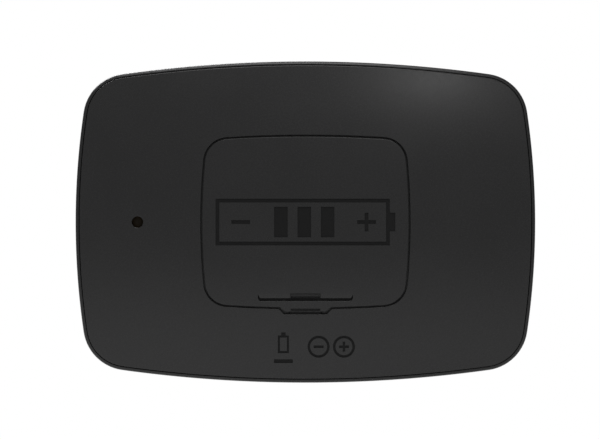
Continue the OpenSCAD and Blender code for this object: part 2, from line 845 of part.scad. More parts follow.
module clock_crystal() color(steel) {
    translate([parts_x - 4, -board_back - 1.55, -case_b * 0.3]) rotate([0, 90, 0])
        cylinder(d = 3, h = 8, $fn = round_fn);
}

module storage_capacitor() color([0.12, 0.13, 0.2]) {
    rod([switch_x, case_b * 0.45], 9, board_back, board_back + 5.2);
}

module chip_row(z, w, h, t) {
    for (i = [-2 : 2]) translate([parts_x + i * 3, 0, z])
        block([-w / 2, -h / 2], [w / 2, h / 2], board_back, board_back + t);
}

module chip_capacitors() color([0.62, 0.48, 0.34]) chip_row(-case_b * 0.46, 1.2, 2, 0.8);

module chip_resistors() color([0.06, 0.06, 0.07]) chip_row(-case_b * 0.58, 1.2, 2, 0.5);

// ---- Set switch ----

switch_leg_at = [for (sx = [-1, 1], sz = [-1, 1]) [switch_x + sx * 2.7, sz * 2.25]];

module set_switch_body() color([0.05, 0.05, 0.05]) {
    difference() {
        block([switch_x - switch_body / 2, -switch_body / 2], [switch_x + switch_body / 2, switch_body / 2],
            board_back, switch_back);
        rod([switch_x, 0], plunger_d + 2 * fit_gap, switch_back - 1.8, switch_back + 1);
    }
}

module set_switch_plate() color(steel) {
    difference() {
        block([switch_x - switch_body / 2, -switch_body / 2], [switch_x + switch_body / 2, switch_body / 2],
            switch_back, switch_back + 0.3);
        rod([switch_x, 0], plunger_d + 2 * fit_gap, switch_back - 1, switch_back + 1);
    }
}

module set_switch_legs() color(steel) {
    for (p = switch_leg_at)
        block(p - [0.35, 0.15], p + [0.35, 0.15], board_front + play, board_back);
}

module set_switch_plunger() color([0.30, 0.16, 0.06]) {
    rod([switch_x, 0], plunger_d, switch_back - 1.8 + plunger_travel + fit_gap, plunger_back);
}

front_case();
rear_cover();
battery_tray();
lens();
mask_print();
parking_sign();
solar_cell();
solar_leads();
display_polariser();
display_front_glass();
display_rear_glass();
display_reflector();
display_foam();
contact_rubber();
adhesive_frame();
circuit_board();
board_screws();
controller_chip();
controller_legs();
charge_chip();
motion_sensor();
clock_crystal();
storage_capacitor();
chip_capacitors();
chip_resistors();
set_switch_body();
set_switch_plate();
set_switch_legs();
set_switch_plunger();
battery_top();
battery_middle();
battery_bottom();
plus_contact();
minus_contact();
left_bridge_contact();
right_bridge_contact();
spring_top();
spring_middle();
spring_bottom();
battery_door();
door_foam();
latch_strip();
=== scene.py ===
"""Electronic parking disc for a car's windscreen: detailed casings, latch, batteries, display and studio.

The model's frame has X to the right seen from behind, Z up and Y out of the display towards the glass. Sizes are
in millimetres unless a name says otherwise, and a depth is a distance behind the glass, so it runs along -Y.
"""

import logging
import math
from dataclasses import dataclass, field
from enum import Enum
from typing import Any, Callable, Mapping, Sequence

import bmesh
import bpy
import numpy as np
from mathutils import Matrix, Vector
from mathutils.geometry import delaunay_2d_cdt


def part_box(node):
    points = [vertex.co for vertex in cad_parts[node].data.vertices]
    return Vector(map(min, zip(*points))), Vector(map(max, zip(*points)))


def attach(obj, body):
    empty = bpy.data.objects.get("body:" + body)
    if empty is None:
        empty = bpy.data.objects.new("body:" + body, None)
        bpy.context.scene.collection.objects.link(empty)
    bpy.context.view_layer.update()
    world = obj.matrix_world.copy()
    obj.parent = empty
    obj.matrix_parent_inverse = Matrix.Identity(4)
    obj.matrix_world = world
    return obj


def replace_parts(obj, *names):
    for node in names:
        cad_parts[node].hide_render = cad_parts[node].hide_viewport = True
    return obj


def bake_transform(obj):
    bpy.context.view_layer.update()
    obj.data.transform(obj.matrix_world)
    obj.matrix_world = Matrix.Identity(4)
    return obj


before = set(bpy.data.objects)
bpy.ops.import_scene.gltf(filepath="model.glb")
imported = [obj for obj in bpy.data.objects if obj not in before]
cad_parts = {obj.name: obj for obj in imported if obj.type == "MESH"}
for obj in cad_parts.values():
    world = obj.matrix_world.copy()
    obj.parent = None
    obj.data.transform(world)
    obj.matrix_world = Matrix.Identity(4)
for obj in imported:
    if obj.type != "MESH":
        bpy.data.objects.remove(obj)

LOG = logging.getLogger("parking_disc")
MM = 0.001
MERGE = 0.002  # points nearer than this are one point
STRAIGHT = 0.995  # cosine of the turn below which an outline runs straight on
OUTLINE_STEP = 1.4  # longest step of a drawing's outline
SHEET_STEP = 2.4  # distance between the points inside a sheet
ROW_STEP = 0.866  # distance between the rows of an even triangle grid, for a side of 1
SHARP = 34  # degrees from which an edge is sharp
Loop = np.ndarray  # a flat outline, one row (x, z) for each point, anticlockwise
Depth = np.ndarray | float
Surface = Callable[[Loop], Depth]


class Body(Enum):
    """The bodies of the frame that pieces ride on."""

    HOUSING = "housing"
    DOOR = "door"
    LATCH = "latch"
    SWITCH = "set_switch"


class Side(Enum):
    """A side of the case, as the sign of X."""

    LEFT = -1
    RIGHT = 1


# ---------------------------------------------------------------- flat outlines


def arc(centre: Sequence[float], radius: float, start: float, end: float, steps: int) -> Loop:
    """Points along an arc, its end included.

    Args:
        centre: Centre of the arc.
        radius: Radius of the arc.
        start: Angle of its first point, in radians.
        end: Angle of its last point.
        steps: Number of steps between them.

    Returns:
        The points.
    """
    angle = np.linspace(start, end, steps + 1)
    return np.array(centre) + radius * np.column_stack([np.cos(angle), np.sin(angle)])


def circle(x: float, z: float, radius: float, steps: int = 40) -> Loop:
    """A round outline of a radius about (x, z)."""
    return arc((x, z), radius, 0, math.tau, steps)[:-1]


def rounded(corners: Sequence[tuple[float, float, float]], closed: bool = True, steps: int = 5) -> Loop:
    """An outline through corners, each rounded by an arc.

    Args:
        corners: For each corner its x, its z and its radius.
        closed: Whether the last corner leads back to the first.
        steps: Steps of each arc.

    Returns:
        The outline's points.
    """
    flat = np.array([corner[:2] for corner in corners], float)
    points = []
    for i, (x, z, radius) in enumerate(corners):
        here = flat[i]
        if radius <= 0 or (not closed and i in (0, len(corners) - 1)):
            points.append(here[None])
            continue
        back = flat[i - 1] - here
        on = flat[(i + 1) % len(corners)] - here
        back /= np.linalg.norm(back)
        on /= np.linalg.norm(on)
        half = math.acos(np.clip(back @ on, -1, 1)) / 2
        middle = (back + on) / np.linalg.norm(back + on)
        centre = here + middle * radius / math.sin(half)
        first = here + back * radius / math.tan(half) - centre
        last = here + on * radius / math.tan(half) - centre
        start = math.atan2(first[1], first[0])
        turn = (math.atan2(last[1], last[0]) - start + math.pi) % math.tau - math.pi
        points.append(arc(centre, radius, start, start + turn, steps))
    return np.vstack(points)


def spaced(points: Loop, spacing: float, closed: bool = True) -> Loop:
    """The same outline with further points on its long runs.

    Args:
        points: The outline.
        spacing: Longest step that is left as it is.
        closed: Whether the last point leads back to the first.

    Returns:
        The outline with its runs divided evenly.
    """
    ends = np.roll(points, -1, 0) if closed else points[1:]
    made = []
    for here, there in zip(points, ends):
        count = max(1, math.ceil(np.linalg.norm(there - here) / spacing - 1e-6))
        made.append(here + (there - here) * (np.arange(count) / count)[:, None])
    if not closed:
        made.append(points[-1:])
    return np.vstack(made)


def rectangle(half_x: float, half_z: float, radius: float = 0, x: float = 0, z: float = 0) -> Loop:
    """An upright rectangle about (x, z) with rounded corners and close points."""
    corners = [(x + sx * half_x, z + sz * half_z, radius) for sx, sz in ((-1, -1), (1, -1), (1, 1), (-1, 1))]
    return spaced(rounded(corners), OUTLINE_STEP)


def shifted(loop: Loop, distance: Depth) -> Loop:
    """An outline moved inwards.

    Args:
        loop: The outline.
        distance: How far each of its edges moves, one number or one for each edge.

    Returns:
        The moved outline, with as many points.
    """
    ahead = np.roll(loop, -1, 0) - loop
    ahead /= np.maximum(np.linalg.norm(ahead, axis=1), 1e-9)[:, None]
    normal = np.column_stack([-ahead[:, 1], ahead[:, 0]])
    before = np.roll(normal, 1, 0)
    on = np.broadcast_to(np.asarray(distance, float), len(loop))
    back = np.roll(on, 1)
    cosine = (normal * before).sum(1)
    straight = cosine > STRAIGHT
    spread = np.where(straight, 1, 1 - cosine**2)
    first = np.where(straight, (back + on) / 2 / (1 + cosine), (back - on * cosine) / spread)
    second = np.where(straight, (back + on) / 2 / (1 + cosine), (on - back * cosine) / spread)
    return loop + first[:, None] * before + second[:, None] * normal


@dataclass(frozen=True)
class Barrel:
    """A rectangle with bowed sides and rounded corners."""

    half_width: float
    half_height: float
    side_r: float
    top_r: float
    corner_r: float
    side_steps: int
    corner_steps: int
    top_steps: int

    def loop(self, inset: float = 0) -> Loop:
        """The outline, moved inwards.

        Args:
            inset: How far it is moved.

        Returns:
            Its points, as many for every inset, from the right-most one.
        """
        side_r, top_r, corner_r = self.side_r - inset, self.top_r - inset, self.corner_r - inset
        side = np.array([self.half_width - inset - side_r, 0])
        top = np.array([0, self.half_height - inset - top_r])
        reach_side, reach_top = side_r - corner_r, top_r - corner_r
        apart = np.linalg.norm([side[0], top[1]])
        along = (reach_side**2 - reach_top**2 + apart**2) / (2 * apart)
        across = math.sqrt(reach_side**2 - along**2)
        corner = np.array([
            side[0] - along * side[0] / apart - across * top[1] / apart,
            along * top[1] / apart - across * side[0] / apart,
        ])
        low = math.atan2(*(corner - side)[::-1])
        high = math.atan2(*(corner - top)[::-1])
        quarter = np.vstack([
            arc(side, side_r, 0, low, self.side_steps)[:-1],
            arc(corner, corner_r, low, high, self.corner_steps),
            arc(top, top_r, high, math.pi / 2, self.top_steps)[1:],
        ])
        return np.vstack([
            quarter,
            quarter[-2::-1] * [-1, 1],
            quarter[1:] * [-1, -1],
            quarter[-2:0:-1] * [1, -1],
        ])

    def bottom(self, x: float, inset: float = 0) -> float:
        """Height of the bowed bottom edge at x."""
        radius = self.top_r - inset
        return radius - self.half_height + inset - math.sqrt(radius**2 - x**2)

    def with_bottom(self, inset: float, path: Loop) -> Loop:
        """The outline with the middle of its bottom edge replaced.

        Args:
            inset: How far the outline is moved inwards.
            path: Points from left to right that take the middle's place.

        Returns:
            The outline, starting with the path.
        """
        whole = self.loop(inset)
        low = whole[:, 1] < 0
        margin = 0.2
        taken = low & (whole[:, 0] > path[0, 0] - margin) & (whole[:, 0] < path[-1, 0] + margin)
        first = int(np.flatnonzero(taken)[-1]) + 1
        turned = np.roll(np.arange(len(whole)), -first)
        return np.vstack([path, whole[[i for i in turned if not taken[i]]]])


@dataclass(frozen=True)
class Crown:
    """The back of the case: a part of a ring surface, bowed both ways."""

    back: float
    half_width: float
    half_height: float
    fall_x: float = 3.6
    fall_z: float = 3.8

    @property
    def radius_x(self) -> float:
        """Radius of its bow along X."""
        return (self.half_width**2 + self.fall_x**2) / (2 * self.fall_x)

    @property
    def radius_z(self) -> float:
        """Radius of its bow along Z."""
        return (self.half_height**2 + self.fall_z**2) / (2 * self.fall_z)

    def depth(self, flat: Loop, lower: Depth = 0) -> np.ndarray:
        """Depth of the surface at flat points.

        Args:
            flat: The points.
            lower: How far it is lowered, one number or one for each point.

        Returns:
            A depth for each point.
        """
        ring = self.radius_x - self.radius_z
        outer = ring + np.sqrt((self.radius_z - lower) ** 2 - flat[:, 1] ** 2)
        return self.back - self.radius_x + np.sqrt(outer**2 - flat[:, 0] ** 2)

    def lowered(self, lower: float) -> Surface:
        """The surface below this one by a distance, as a function of flat points."""
        return lambda flat: self.depth(flat, lower)


def level(depth: float) -> Surface:
    """A flat surface at a depth, as a function of flat points."""
    return lambda flat: np.full(len(flat), float(depth))


# ---------------------------------------------------------------- solids


def inside(points: Loop, loops: Sequence[Loop]) -> np.ndarray:
    """Tells which points lie inside an odd number of outlines.

    Args:
        points: The points to test.
        loops: The outlines.

    Returns:
        One truth value for each point.
    """
    odd = np.zeros(len(points), bool)
    for loop in loops:
        for (x0, z0), (x1, z1) in zip(loop, np.roll(loop, -1, 0)):
            if z0 == z1:
                continue
            between = (points[:, 1] < z0) != (points[:, 1] < z1)
            cross = x0 + (points[:, 1] - z0) * (x1 - x0) / (z1 - z0)
            odd ^= between & (points[:, 0] < cross)
    return odd


class Solid:
    """A closed surface put together from strips between chains of points and from filled sheets."""

    def __init__(self) -> None:
        """Starts with nothing."""
        self.points: list[np.ndarray] = []
        self.faces: list[tuple[int, ...]] = []
        self.slots: list[int] = []
        self.count = 0

    def add(self, places: np.ndarray) -> np.ndarray:
        """Adds points.

        Args:
            places: One row (x, depth, z) for each point.

        Returns:
            The points' numbers.
        """
        self.points.append(places)
        self.count += len(places)
        return np.arange(self.count - len(places), self.count)

    def chain(self, flat: Loop, depth: Depth) -> np.ndarray:
        """Adds flat points at a depth and returns their numbers."""
        return self.add(np.column_stack([flat[:, 0], np.broadcast_to(depth, len(flat)), flat[:, 1]]))

    def strip(self, first: np.ndarray, second: np.ndarray, closed: bool = True, slot: int = 0) -> None:
        """Joins two chains of points by four-sided faces.

        Args:
            first: Numbers of one chain's points.
            second: Numbers of the other's, as many.
            closed: Whether the last point leads back to the first.
            slot: Material slot of the faces.
        """
        steps = len(first) if closed else len(first) - 1
        for i in range(steps):
            j = (i + 1) % len(first)
            self.face((first[i], first[j], second[j], second[i]), slot)

    def face(self, corners: Sequence[int], slot: int = 0) -> None:
        """Adds one face with a material slot."""
        self.faces.append(tuple(int(corner) for corner in corners))
        self.slots.append(slot)

    def wall(self, flat: Loop, top: Depth, bottom: Depth, closed: bool = True, slot: int = 0) -> None:
        """A wall along an outline between two depths."""
        self.strip(self.chain(flat, top), self.chain(flat, bottom), closed, slot)

    def edge(self, outline: Loop, crown: Crown, radius: Depth, lower: float = 0, into: int = 1,
             support: float = 0.15, steps: int = 4) -> tuple[Loop, np.ndarray]:
        """Rounds the edge between a crowned surface and the wall round an outline.

        Args:
            outline: Outline of the wall.
            crown: The surface.
            radius: Radius of the edge, one number or one for each of the outline's edges.
            lower: How far below the crown the surface lies.
            into: 1 where the solid lies inside the outline, -1 where it lies outside.
            support: Width of the strip of surface that goes with the rounding.
            steps: Steps of the rounding.

        Returns:
            The outline where the surface goes on, and the depths at which the wall starts.
        """
        radii = np.broadcast_to(np.asarray(radius, float), len(outline))
        at_point = np.maximum(radii, np.roll(radii, 1))
        start = shifted(outline, into * np.where(radii > 0, radii + support, 0))
        last = self.chain(start, crown.depth(start, lower))
        for k in range(steps + 1):
            angle = math.pi / 2 * k / steps
            flat = shifted(outline, into * radii * (1 - math.sin(angle)))
            here = self.chain(flat, crown.depth(flat, lower + at_point * (1 - math.cos(angle))))
            self.strip(last, here)
            last = here
        return start, crown.depth(outline, lower + at_point)

    def sheet(self, loops: Sequence[Loop], surface: Surface, spacing: float = SHEET_STEP, slot: int = 0) -> None:
        """Fills what lies inside an odd number of outlines.

        Args:
            loops: The outlines.
            surface: Depth of the sheet at flat points.
            spacing: Distance between the points inside.
            slot: Material slot of its faces.
        """
        rim = np.vstack(loops)
        edges = []
        start = 0
        for loop in loops:
            edges += [(start + i, start + (i + 1) % len(loop)) for i in range(len(loop))]
            start += len(loop)
        low, high = rim.min(0), rim.max(0)
        rows = np.arange(low[1] + spacing / 2, high[1], spacing * ROW_STEP)
        columns = np.arange(low[0] + spacing / 2, high[0], spacing)
        grid = np.array([(x + spacing / 2 * (i % 2), z) for i, z in enumerate(rows) for x in columns]).reshape(-1, 2)
        clear = 0.6 * spacing
        if len(grid):
            near = np.array([((rim - point) ** 2).sum(1).min() for point in grid])
            grid = grid[(near > clear**2) & inside(grid, loops)]
        every = [Vector(point) for point in np.vstack([rim, grid])]
        made, _, triangles, *_ = delaunay_2d_cdt(every, edges, [], 0, 1e-5)
        flat = np.array([tuple(point) for point in made])
        corners = np.array(triangles)
        kept = corners[inside(flat[corners].mean(1), loops)]
        numbers = self.chain(flat, surface(flat))
        for triangle in kept:
            self.face(numbers[triangle], slot)

    def recess(self, loops: Sequence[Loop], crown: Crown, depth: float, slot: int) -> None:
        """Sinks a drawing into a crowned surface, whose sheet leaves its outlines out.

        Args:
            loops: Outlines of the drawing, and of the islands in it.
            crown: The surface.
            depth: How deep it is sunk.
            slot: Material slot of its floor.
        """
        for loop in loops:
            self.wall(loop, crown.depth(loop), crown.depth(loop, depth))
        self.sheet(loops, crown.lowered(depth), SHEET_STEP, slot)

    def slab(self, outline: Loop, near: Surface, deep: Surface, spacing: float = SHEET_STEP) -> None:
        """A plate of any outline.

        Args:
            outline: The outline.
            near: Surface on its upper side.
            deep: Surface on its lower side.
            spacing: Distance between the points inside.
        """
        self.wall(outline, near(outline), deep(outline))
        self.sheet([outline], near, spacing)
        self.sheet([outline], deep, spacing)

    def prism(self, profile: Loop, low: float, high: float, slot: int = 0) -> None:
        """A bar along X.

        Args:
            profile: Its section, one row (z, depth) for each point.
            low: X of its first end.
            high: X of its other end.
            slot: Material slot.
        """
        ends = [self.add(np.column_stack([np.full(len(profile), x), profile[:, 1], profile[:, 0]]))
                for x in (low, high)]
        self.strip(ends[0], ends[1], True, slot)
        for end in ends:
            self.face(end, slot)

    def turned(self, profile: Sequence[tuple[float, float, int]], place: Matrix, steps: int = 48) -> None:
        """A turned piece.

        Args:
            profile: For each ring its distance along the axis, its radius and the slot of what follows it.
            place: Turns and moves the piece, whose axis is Z, to its place in (x, y, z).
            steps: Steps round the axis.
        """
        rings = []
        for along, radius, _ in profile:
            ring = circle(0, 0, max(radius, 1e-4), steps)
            places = [place @ Vector((u, v, along)) for u, v in ring]
            rings.append(self.add(np.array([(p.x, -p.y, p.z) for p in places])))
        for first, second, (_, _, slot) in zip(rings, rings[1:], profile):
            self.strip(first, second, True, slot)
        self.face(rings[0], profile[0][2])
        self.face(rings[-1], profile[-1][2])

    def mirrored(self) -> "Solid":
        """The same solid on the other side of X = 0.

        Returns:
            The mirrored solid.
        """
        other = Solid()
        other.points = [places * [-1, 1, 1] for places in self.points]
        other.faces, other.slots, other.count = list(self.faces), list(self.slots), self.count
        return other

    def made(self, name: str, *materials: bpy.types.Material, sharp: float = SHARP) -> bpy.types.Object:
        """Makes the solid an object.

        Args:
            name: Name of the object.
            *materials: Its materials, in the order of their slots.
            sharp: Angle in degrees from which an edge is sharp.

        Returns:
            The object, whose origin is the model's.
        """
        mesh = bpy.data.meshes.new(name)
        places = np.vstack(self.points) * [MM, -MM, MM]
        mesh.from_pydata(places.tolist(), [], self.faces)
        mesh.polygons.foreach_set("material_index", self.slots)
        for material in materials:
            mesh.materials.append(material)
        return tidied(mesh, name, sharp)


def tidied(mesh: bpy.types.Mesh, name: str, sharp: float) -> bpy.types.Object:
    """Closes a mesh, points its faces outwards and shades it.

    Args:
        mesh: The mesh.
        name: Name of the object made of it.
        sharp: Angle in degrees from which an edge is sharp.

    Returns:
        The object.
    """
    edit = bmesh.new()
    edit.from_mesh(mesh)
    bmesh.ops.remove_doubles(edit, verts=edit.verts, dist=MERGE * MM)
    bmesh.ops.dissolve_degenerate(edit, edges=edit.edges, dist=MERGE * MM / 4)
    bmesh.ops.delete(edit, geom=[e for e in edit.edges if e.is_wire], context="EDGES")
    bmesh.ops.holes_fill(edit, edges=[e for e in edit.edges if e.is_boundary], sides=0)
    bmesh.ops.triangulate(edit, faces=[f for f in edit.faces if len(f.verts) > 4])
    bmesh.ops.recalc_face_normals(edit, faces=edit.faces)
    for face in edit.faces:
        face.smooth = True
    for line in edit.edges:
        line.smooth = line.calc_face_angle(math.pi) < math.radians(sharp)
    open_edges = sum(not line.is_manifold for line in edit.edges)
    if open_edges:
        LOG.warning("%s has %d open edges", name, open_edges)
    edit.to_mesh(mesh)
    edit.free()
    made = bpy.data.objects.new(name, mesh)
    bpy.context.scene.collection.objects.link(made)
    return made


def settled(made: bpy.types.Object, sharp: float = SHARP) -> bpy.types.Object:
    """Turns an object with modifiers into a plain mesh of the same name.

    Args:
        made: The object.
        sharp: Angle in degrees from which an edge is sharp.

    Returns:
        The new object.
    """
    graph = bpy.context.evaluated_depsgraph_get()
    mesh = bpy.data.meshes.new_from_object(made.evaluated_get(graph), depsgraph=graph)
    name = made.name
    bpy.data.objects.remove(made)
    return tidied(mesh, name, sharp)


def carved(made: bpy.types.Object, cutter: Solid) -> bpy.types.Object:
    """Cuts another solid out of an object.

    Args:
        made: The object.
        cutter: What is cut out of it.

    Returns:
        The new object.
    """
    tool = cutter.made("cutter")
    cut = made.modifiers.new("cut", "BOOLEAN")
    cut.operation, cut.solver, cut.object = "DIFFERENCE", "EXACT", tool
    made = settled(made)
    bpy.data.objects.remove(tool)
    return made


def joined(made: bpy.types.Object, *others: bpy.types.Object) -> bpy.types.Object:
    """Adds other objects' meshes to the first one's, as solids of their own.

    Args:
        made: The first object.
        *others: The others, which are removed.

    Returns:
        The first object.
    """
    edit = bmesh.new()
    edit.from_mesh(made.data)
    for other in others:
        edit.from_mesh(other.data)
        bpy.data.objects.remove(other)
    edit.to_mesh(made.data)
    edit.free()
    return made


# ---------------------------------------------------------------- nodes and finishes


class Value:
    """A number in a node tree that plain arithmetic works on, by adding Math nodes."""

    def __init__(self, graph: "Graph", socket: bpy.types.NodeSocket) -> None:
        """Wraps a socket of a graph."""
        self.graph = graph
        self.socket = socket

    def _math(self, operation: str, first: Any, second: Any) -> "Value":
        """The result of a Math node on two values or numbers."""
        node = self.graph.node("ShaderNodeMath", {"operation": operation}, {0: first, 1: second})
        return Value(self.graph, node.outputs[0])

    def __add__(self, other: Any) -> "Value":
        """Adds."""
        return self._math("ADD", self, other)

    __radd__ = __add__

    def __sub__(self, other: Any) -> "Value":
        """Subtracts."""
        return self._math("SUBTRACT", self, other)

    def __rsub__(self, other: Any) -> "Value":
        """Subtracts this from another value."""
        return self._math("SUBTRACT", other, self)

    def __mul__(self, other: Any) -> "Value":
        """Multiplies."""
        return self._math("MULTIPLY", self, other)

    __rmul__ = __mul__

    def __pow__(self, other: Any) -> "Value":
        """Raises to a power."""
        return self._math("POWER", self, other)


class Graph:
    """A node tree that is written as expressions."""

    def __init__(self, tree: bpy.types.NodeTree) -> None:
        """Wraps an empty tree."""
        self.tree = tree

    def node(self, kind: str, settings: Mapping[str, Any] | None = None,
             inputs: Mapping[Any, Any] | None = None) -> bpy.types.Node:
        """Adds a node.

        Args:
            kind: Type of the node.
            settings: Its properties, which are set first.
            inputs: For each input socket a number, a colour, a material or what is linked to it.

        Returns:
            The node.
        """
        made = self.tree.nodes.new(kind)
        for key, value in (settings or {}).items():
            setattr(made, key, value)
        for key, value in (inputs or {}).items():
            if isinstance(value, Value):
                value = value.socket
            if isinstance(value, bpy.types.NodeSocket):
                self.tree.links.new(value, made.inputs[key])
            else:
                made.inputs[key].default_value = value
        return made

    def place(self) -> bpy.types.NodeSocket:
        """Object coordinates, in metres."""
        return self.node("ShaderNodeTexCoord").outputs["Object"]

    def noise(self, size: float, detail: float = 2, stretch: Sequence[float] = (1, 1, 1)) -> Value:
        """A noise from 0 to 1.

        Args:
            size: Size of its features.
            detail: Number of finer layers.
            stretch: How much finer it is along X, Y and Z.

        Returns:
            The noise.
        """
        mapping = self.node("ShaderNodeMapping", inputs={"Vector": self.place(), "Scale": tuple(stretch)})
        made = self.node("ShaderNodeTexNoise", inputs={
            "Vector": mapping.outputs[0], "Scale": 1 / (size * MM), "Detail": detail})
        return Value(self, made.outputs[0])

    def mix(self, share: Value, first: Sequence[float], second: Sequence[float]) -> bpy.types.NodeSocket:
        """A colour between two colours.

        Args:
            share: 0 for the first colour, 1 for the second.
            first: The first colour.
            second: The second colour.

        Returns:
            The colour.
        """
        made = self.node("ShaderNodeMix", {"data_type": "RGBA"},
                         {0: share, 6: (*first, 1), 7: (*second, 1)})
        return made.outputs[2]

    def bump(self, height: Value, relief: float) -> bpy.types.NodeSocket:
        """A normal that shows a relief of a height in millimetres."""
        made = self.node("ShaderNodeBump", inputs={"Height": height, "Distance": relief * MM, "Strength": 1})
        return made.outputs[0]

    def finish(self, shader: bpy.types.NodeSocket) -> None:
        """Sends a shader to the output."""
        self.node("ShaderNodeOutputMaterial", inputs={"Surface": shader})


def fresh_material(name: str) -> tuple[bpy.types.Material, Graph]:
    """Starts a material.

    Args:
        name: Name of the material.

    Returns:
        The empty material and its graph.
    """
    material = bpy.data.materials.new(name)
    material.use_nodes = True
    material.node_tree.nodes.clear()
    return material, Graph(material.node_tree)


def shade(color: Sequence[float], factor: float) -> tuple[float, ...]:
    """A colour made lighter or darker."""
    return tuple(min(1.0, channel * factor) for channel in color)


@dataclass(frozen=True)
class Moulded:
    """Moulded, printed or coated matter with a fine grain and a faint unevenness of colour."""

    name: str
    color: tuple[float, float, float]
    roughness: float = 0.45
    grain: float = 0.35
    relief: float = 0.006
    unevenness: float = 0.12
    patch: float = 14
    coat: float = 0
    mirror: float = 0.5

    def material(self) -> bpy.types.Material:
        """Makes the finish.

        Returns:
            The material.
        """
        material, graph = fresh_material(self.name)
        grain = graph.noise(self.grain, 3)
        cloud = graph.noise(self.patch, 2)
        shader = graph.node("ShaderNodeBsdfPrincipled", inputs={
            "Base Color": graph.mix(cloud * 0.7 + grain * 0.3, shade(self.color, 1 - self.unevenness),
                                    shade(self.color, 1 + self.unevenness)),
            "Roughness": self.roughness + (grain - 0.5) * 0.12 + (cloud - 0.5) * 0.05,
            "Coat Weight": self.coat,
            "Coat Roughness": 0.06,
            "Specular IOR Level": self.mirror,
            "Normal": graph.bump(grain, self.relief),
        })
        graph.finish(shader.outputs[0])
        return material


@dataclass(frozen=True)
class Metal:
    """Drawn, plated or printed metal with fine streaks."""

    name: str
    color: tuple[float, float, float]
    roughness: float = 0.28
    streak: tuple[float, float, float] = (0.15, 1, 1)
    relief: float = 0.002

    def material(self) -> bpy.types.Material:
        """Makes the finish.

        Returns:
            The material.
        """
        material, graph = fresh_material(self.name)
        streaks = graph.noise(0.25, 3, self.streak)
        cloud = graph.noise(4, 2)
        shader = graph.node("ShaderNodeBsdfPrincipled", inputs={
            "Base Color": graph.mix(cloud, shade(self.color, 0.82), shade(self.color, 1.08)),
            "Roughness": self.roughness + (streaks - 0.5) * 0.16 + (cloud - 0.5) * 0.1,
            "Metallic": 1.0,
            "Normal": graph.bump(streaks, self.relief),
        })
        graph.finish(shader.outputs[0])
        return material


@dataclass(frozen=True)
class Clear:
    """Clear sheet: it lets what lies behind it show, and mirrors more at a slant."""

    name: str
    tint: tuple[float, float, float]
    roughness: float = 0.03
    mirror: float = 0.04
    haze: float = 0.0

    def material(self) -> bpy.types.Material:
        """Makes the finish.

        Returns:
            The material.
        """
        material, graph = fresh_material(self.name)
        grain = graph.noise(9, 1)
        normal = graph.bump(grain, 0.004)
        through = graph.node("ShaderNodeBsdfTransparent", inputs={"Color": (*self.tint, 1)})
        mirror = graph.node("ShaderNodeBsdfAnisotropic", inputs={
            "Color": (0.9, 0.9, 0.9, 1), "Roughness": self.roughness, "Normal": normal})
        slant = Value(graph, graph.node("ShaderNodeLayerWeight", inputs={"Blend": 0.5}).outputs["Facing"])
        least = max(self.mirror, self.haze)
        share = slant**5 * (1 - least) + least
        both = graph.node("ShaderNodeMixShader", inputs={0: share, 1: through.outputs[0], 2: mirror.outputs[0]})
        graph.finish(both.outputs[0])
        return material


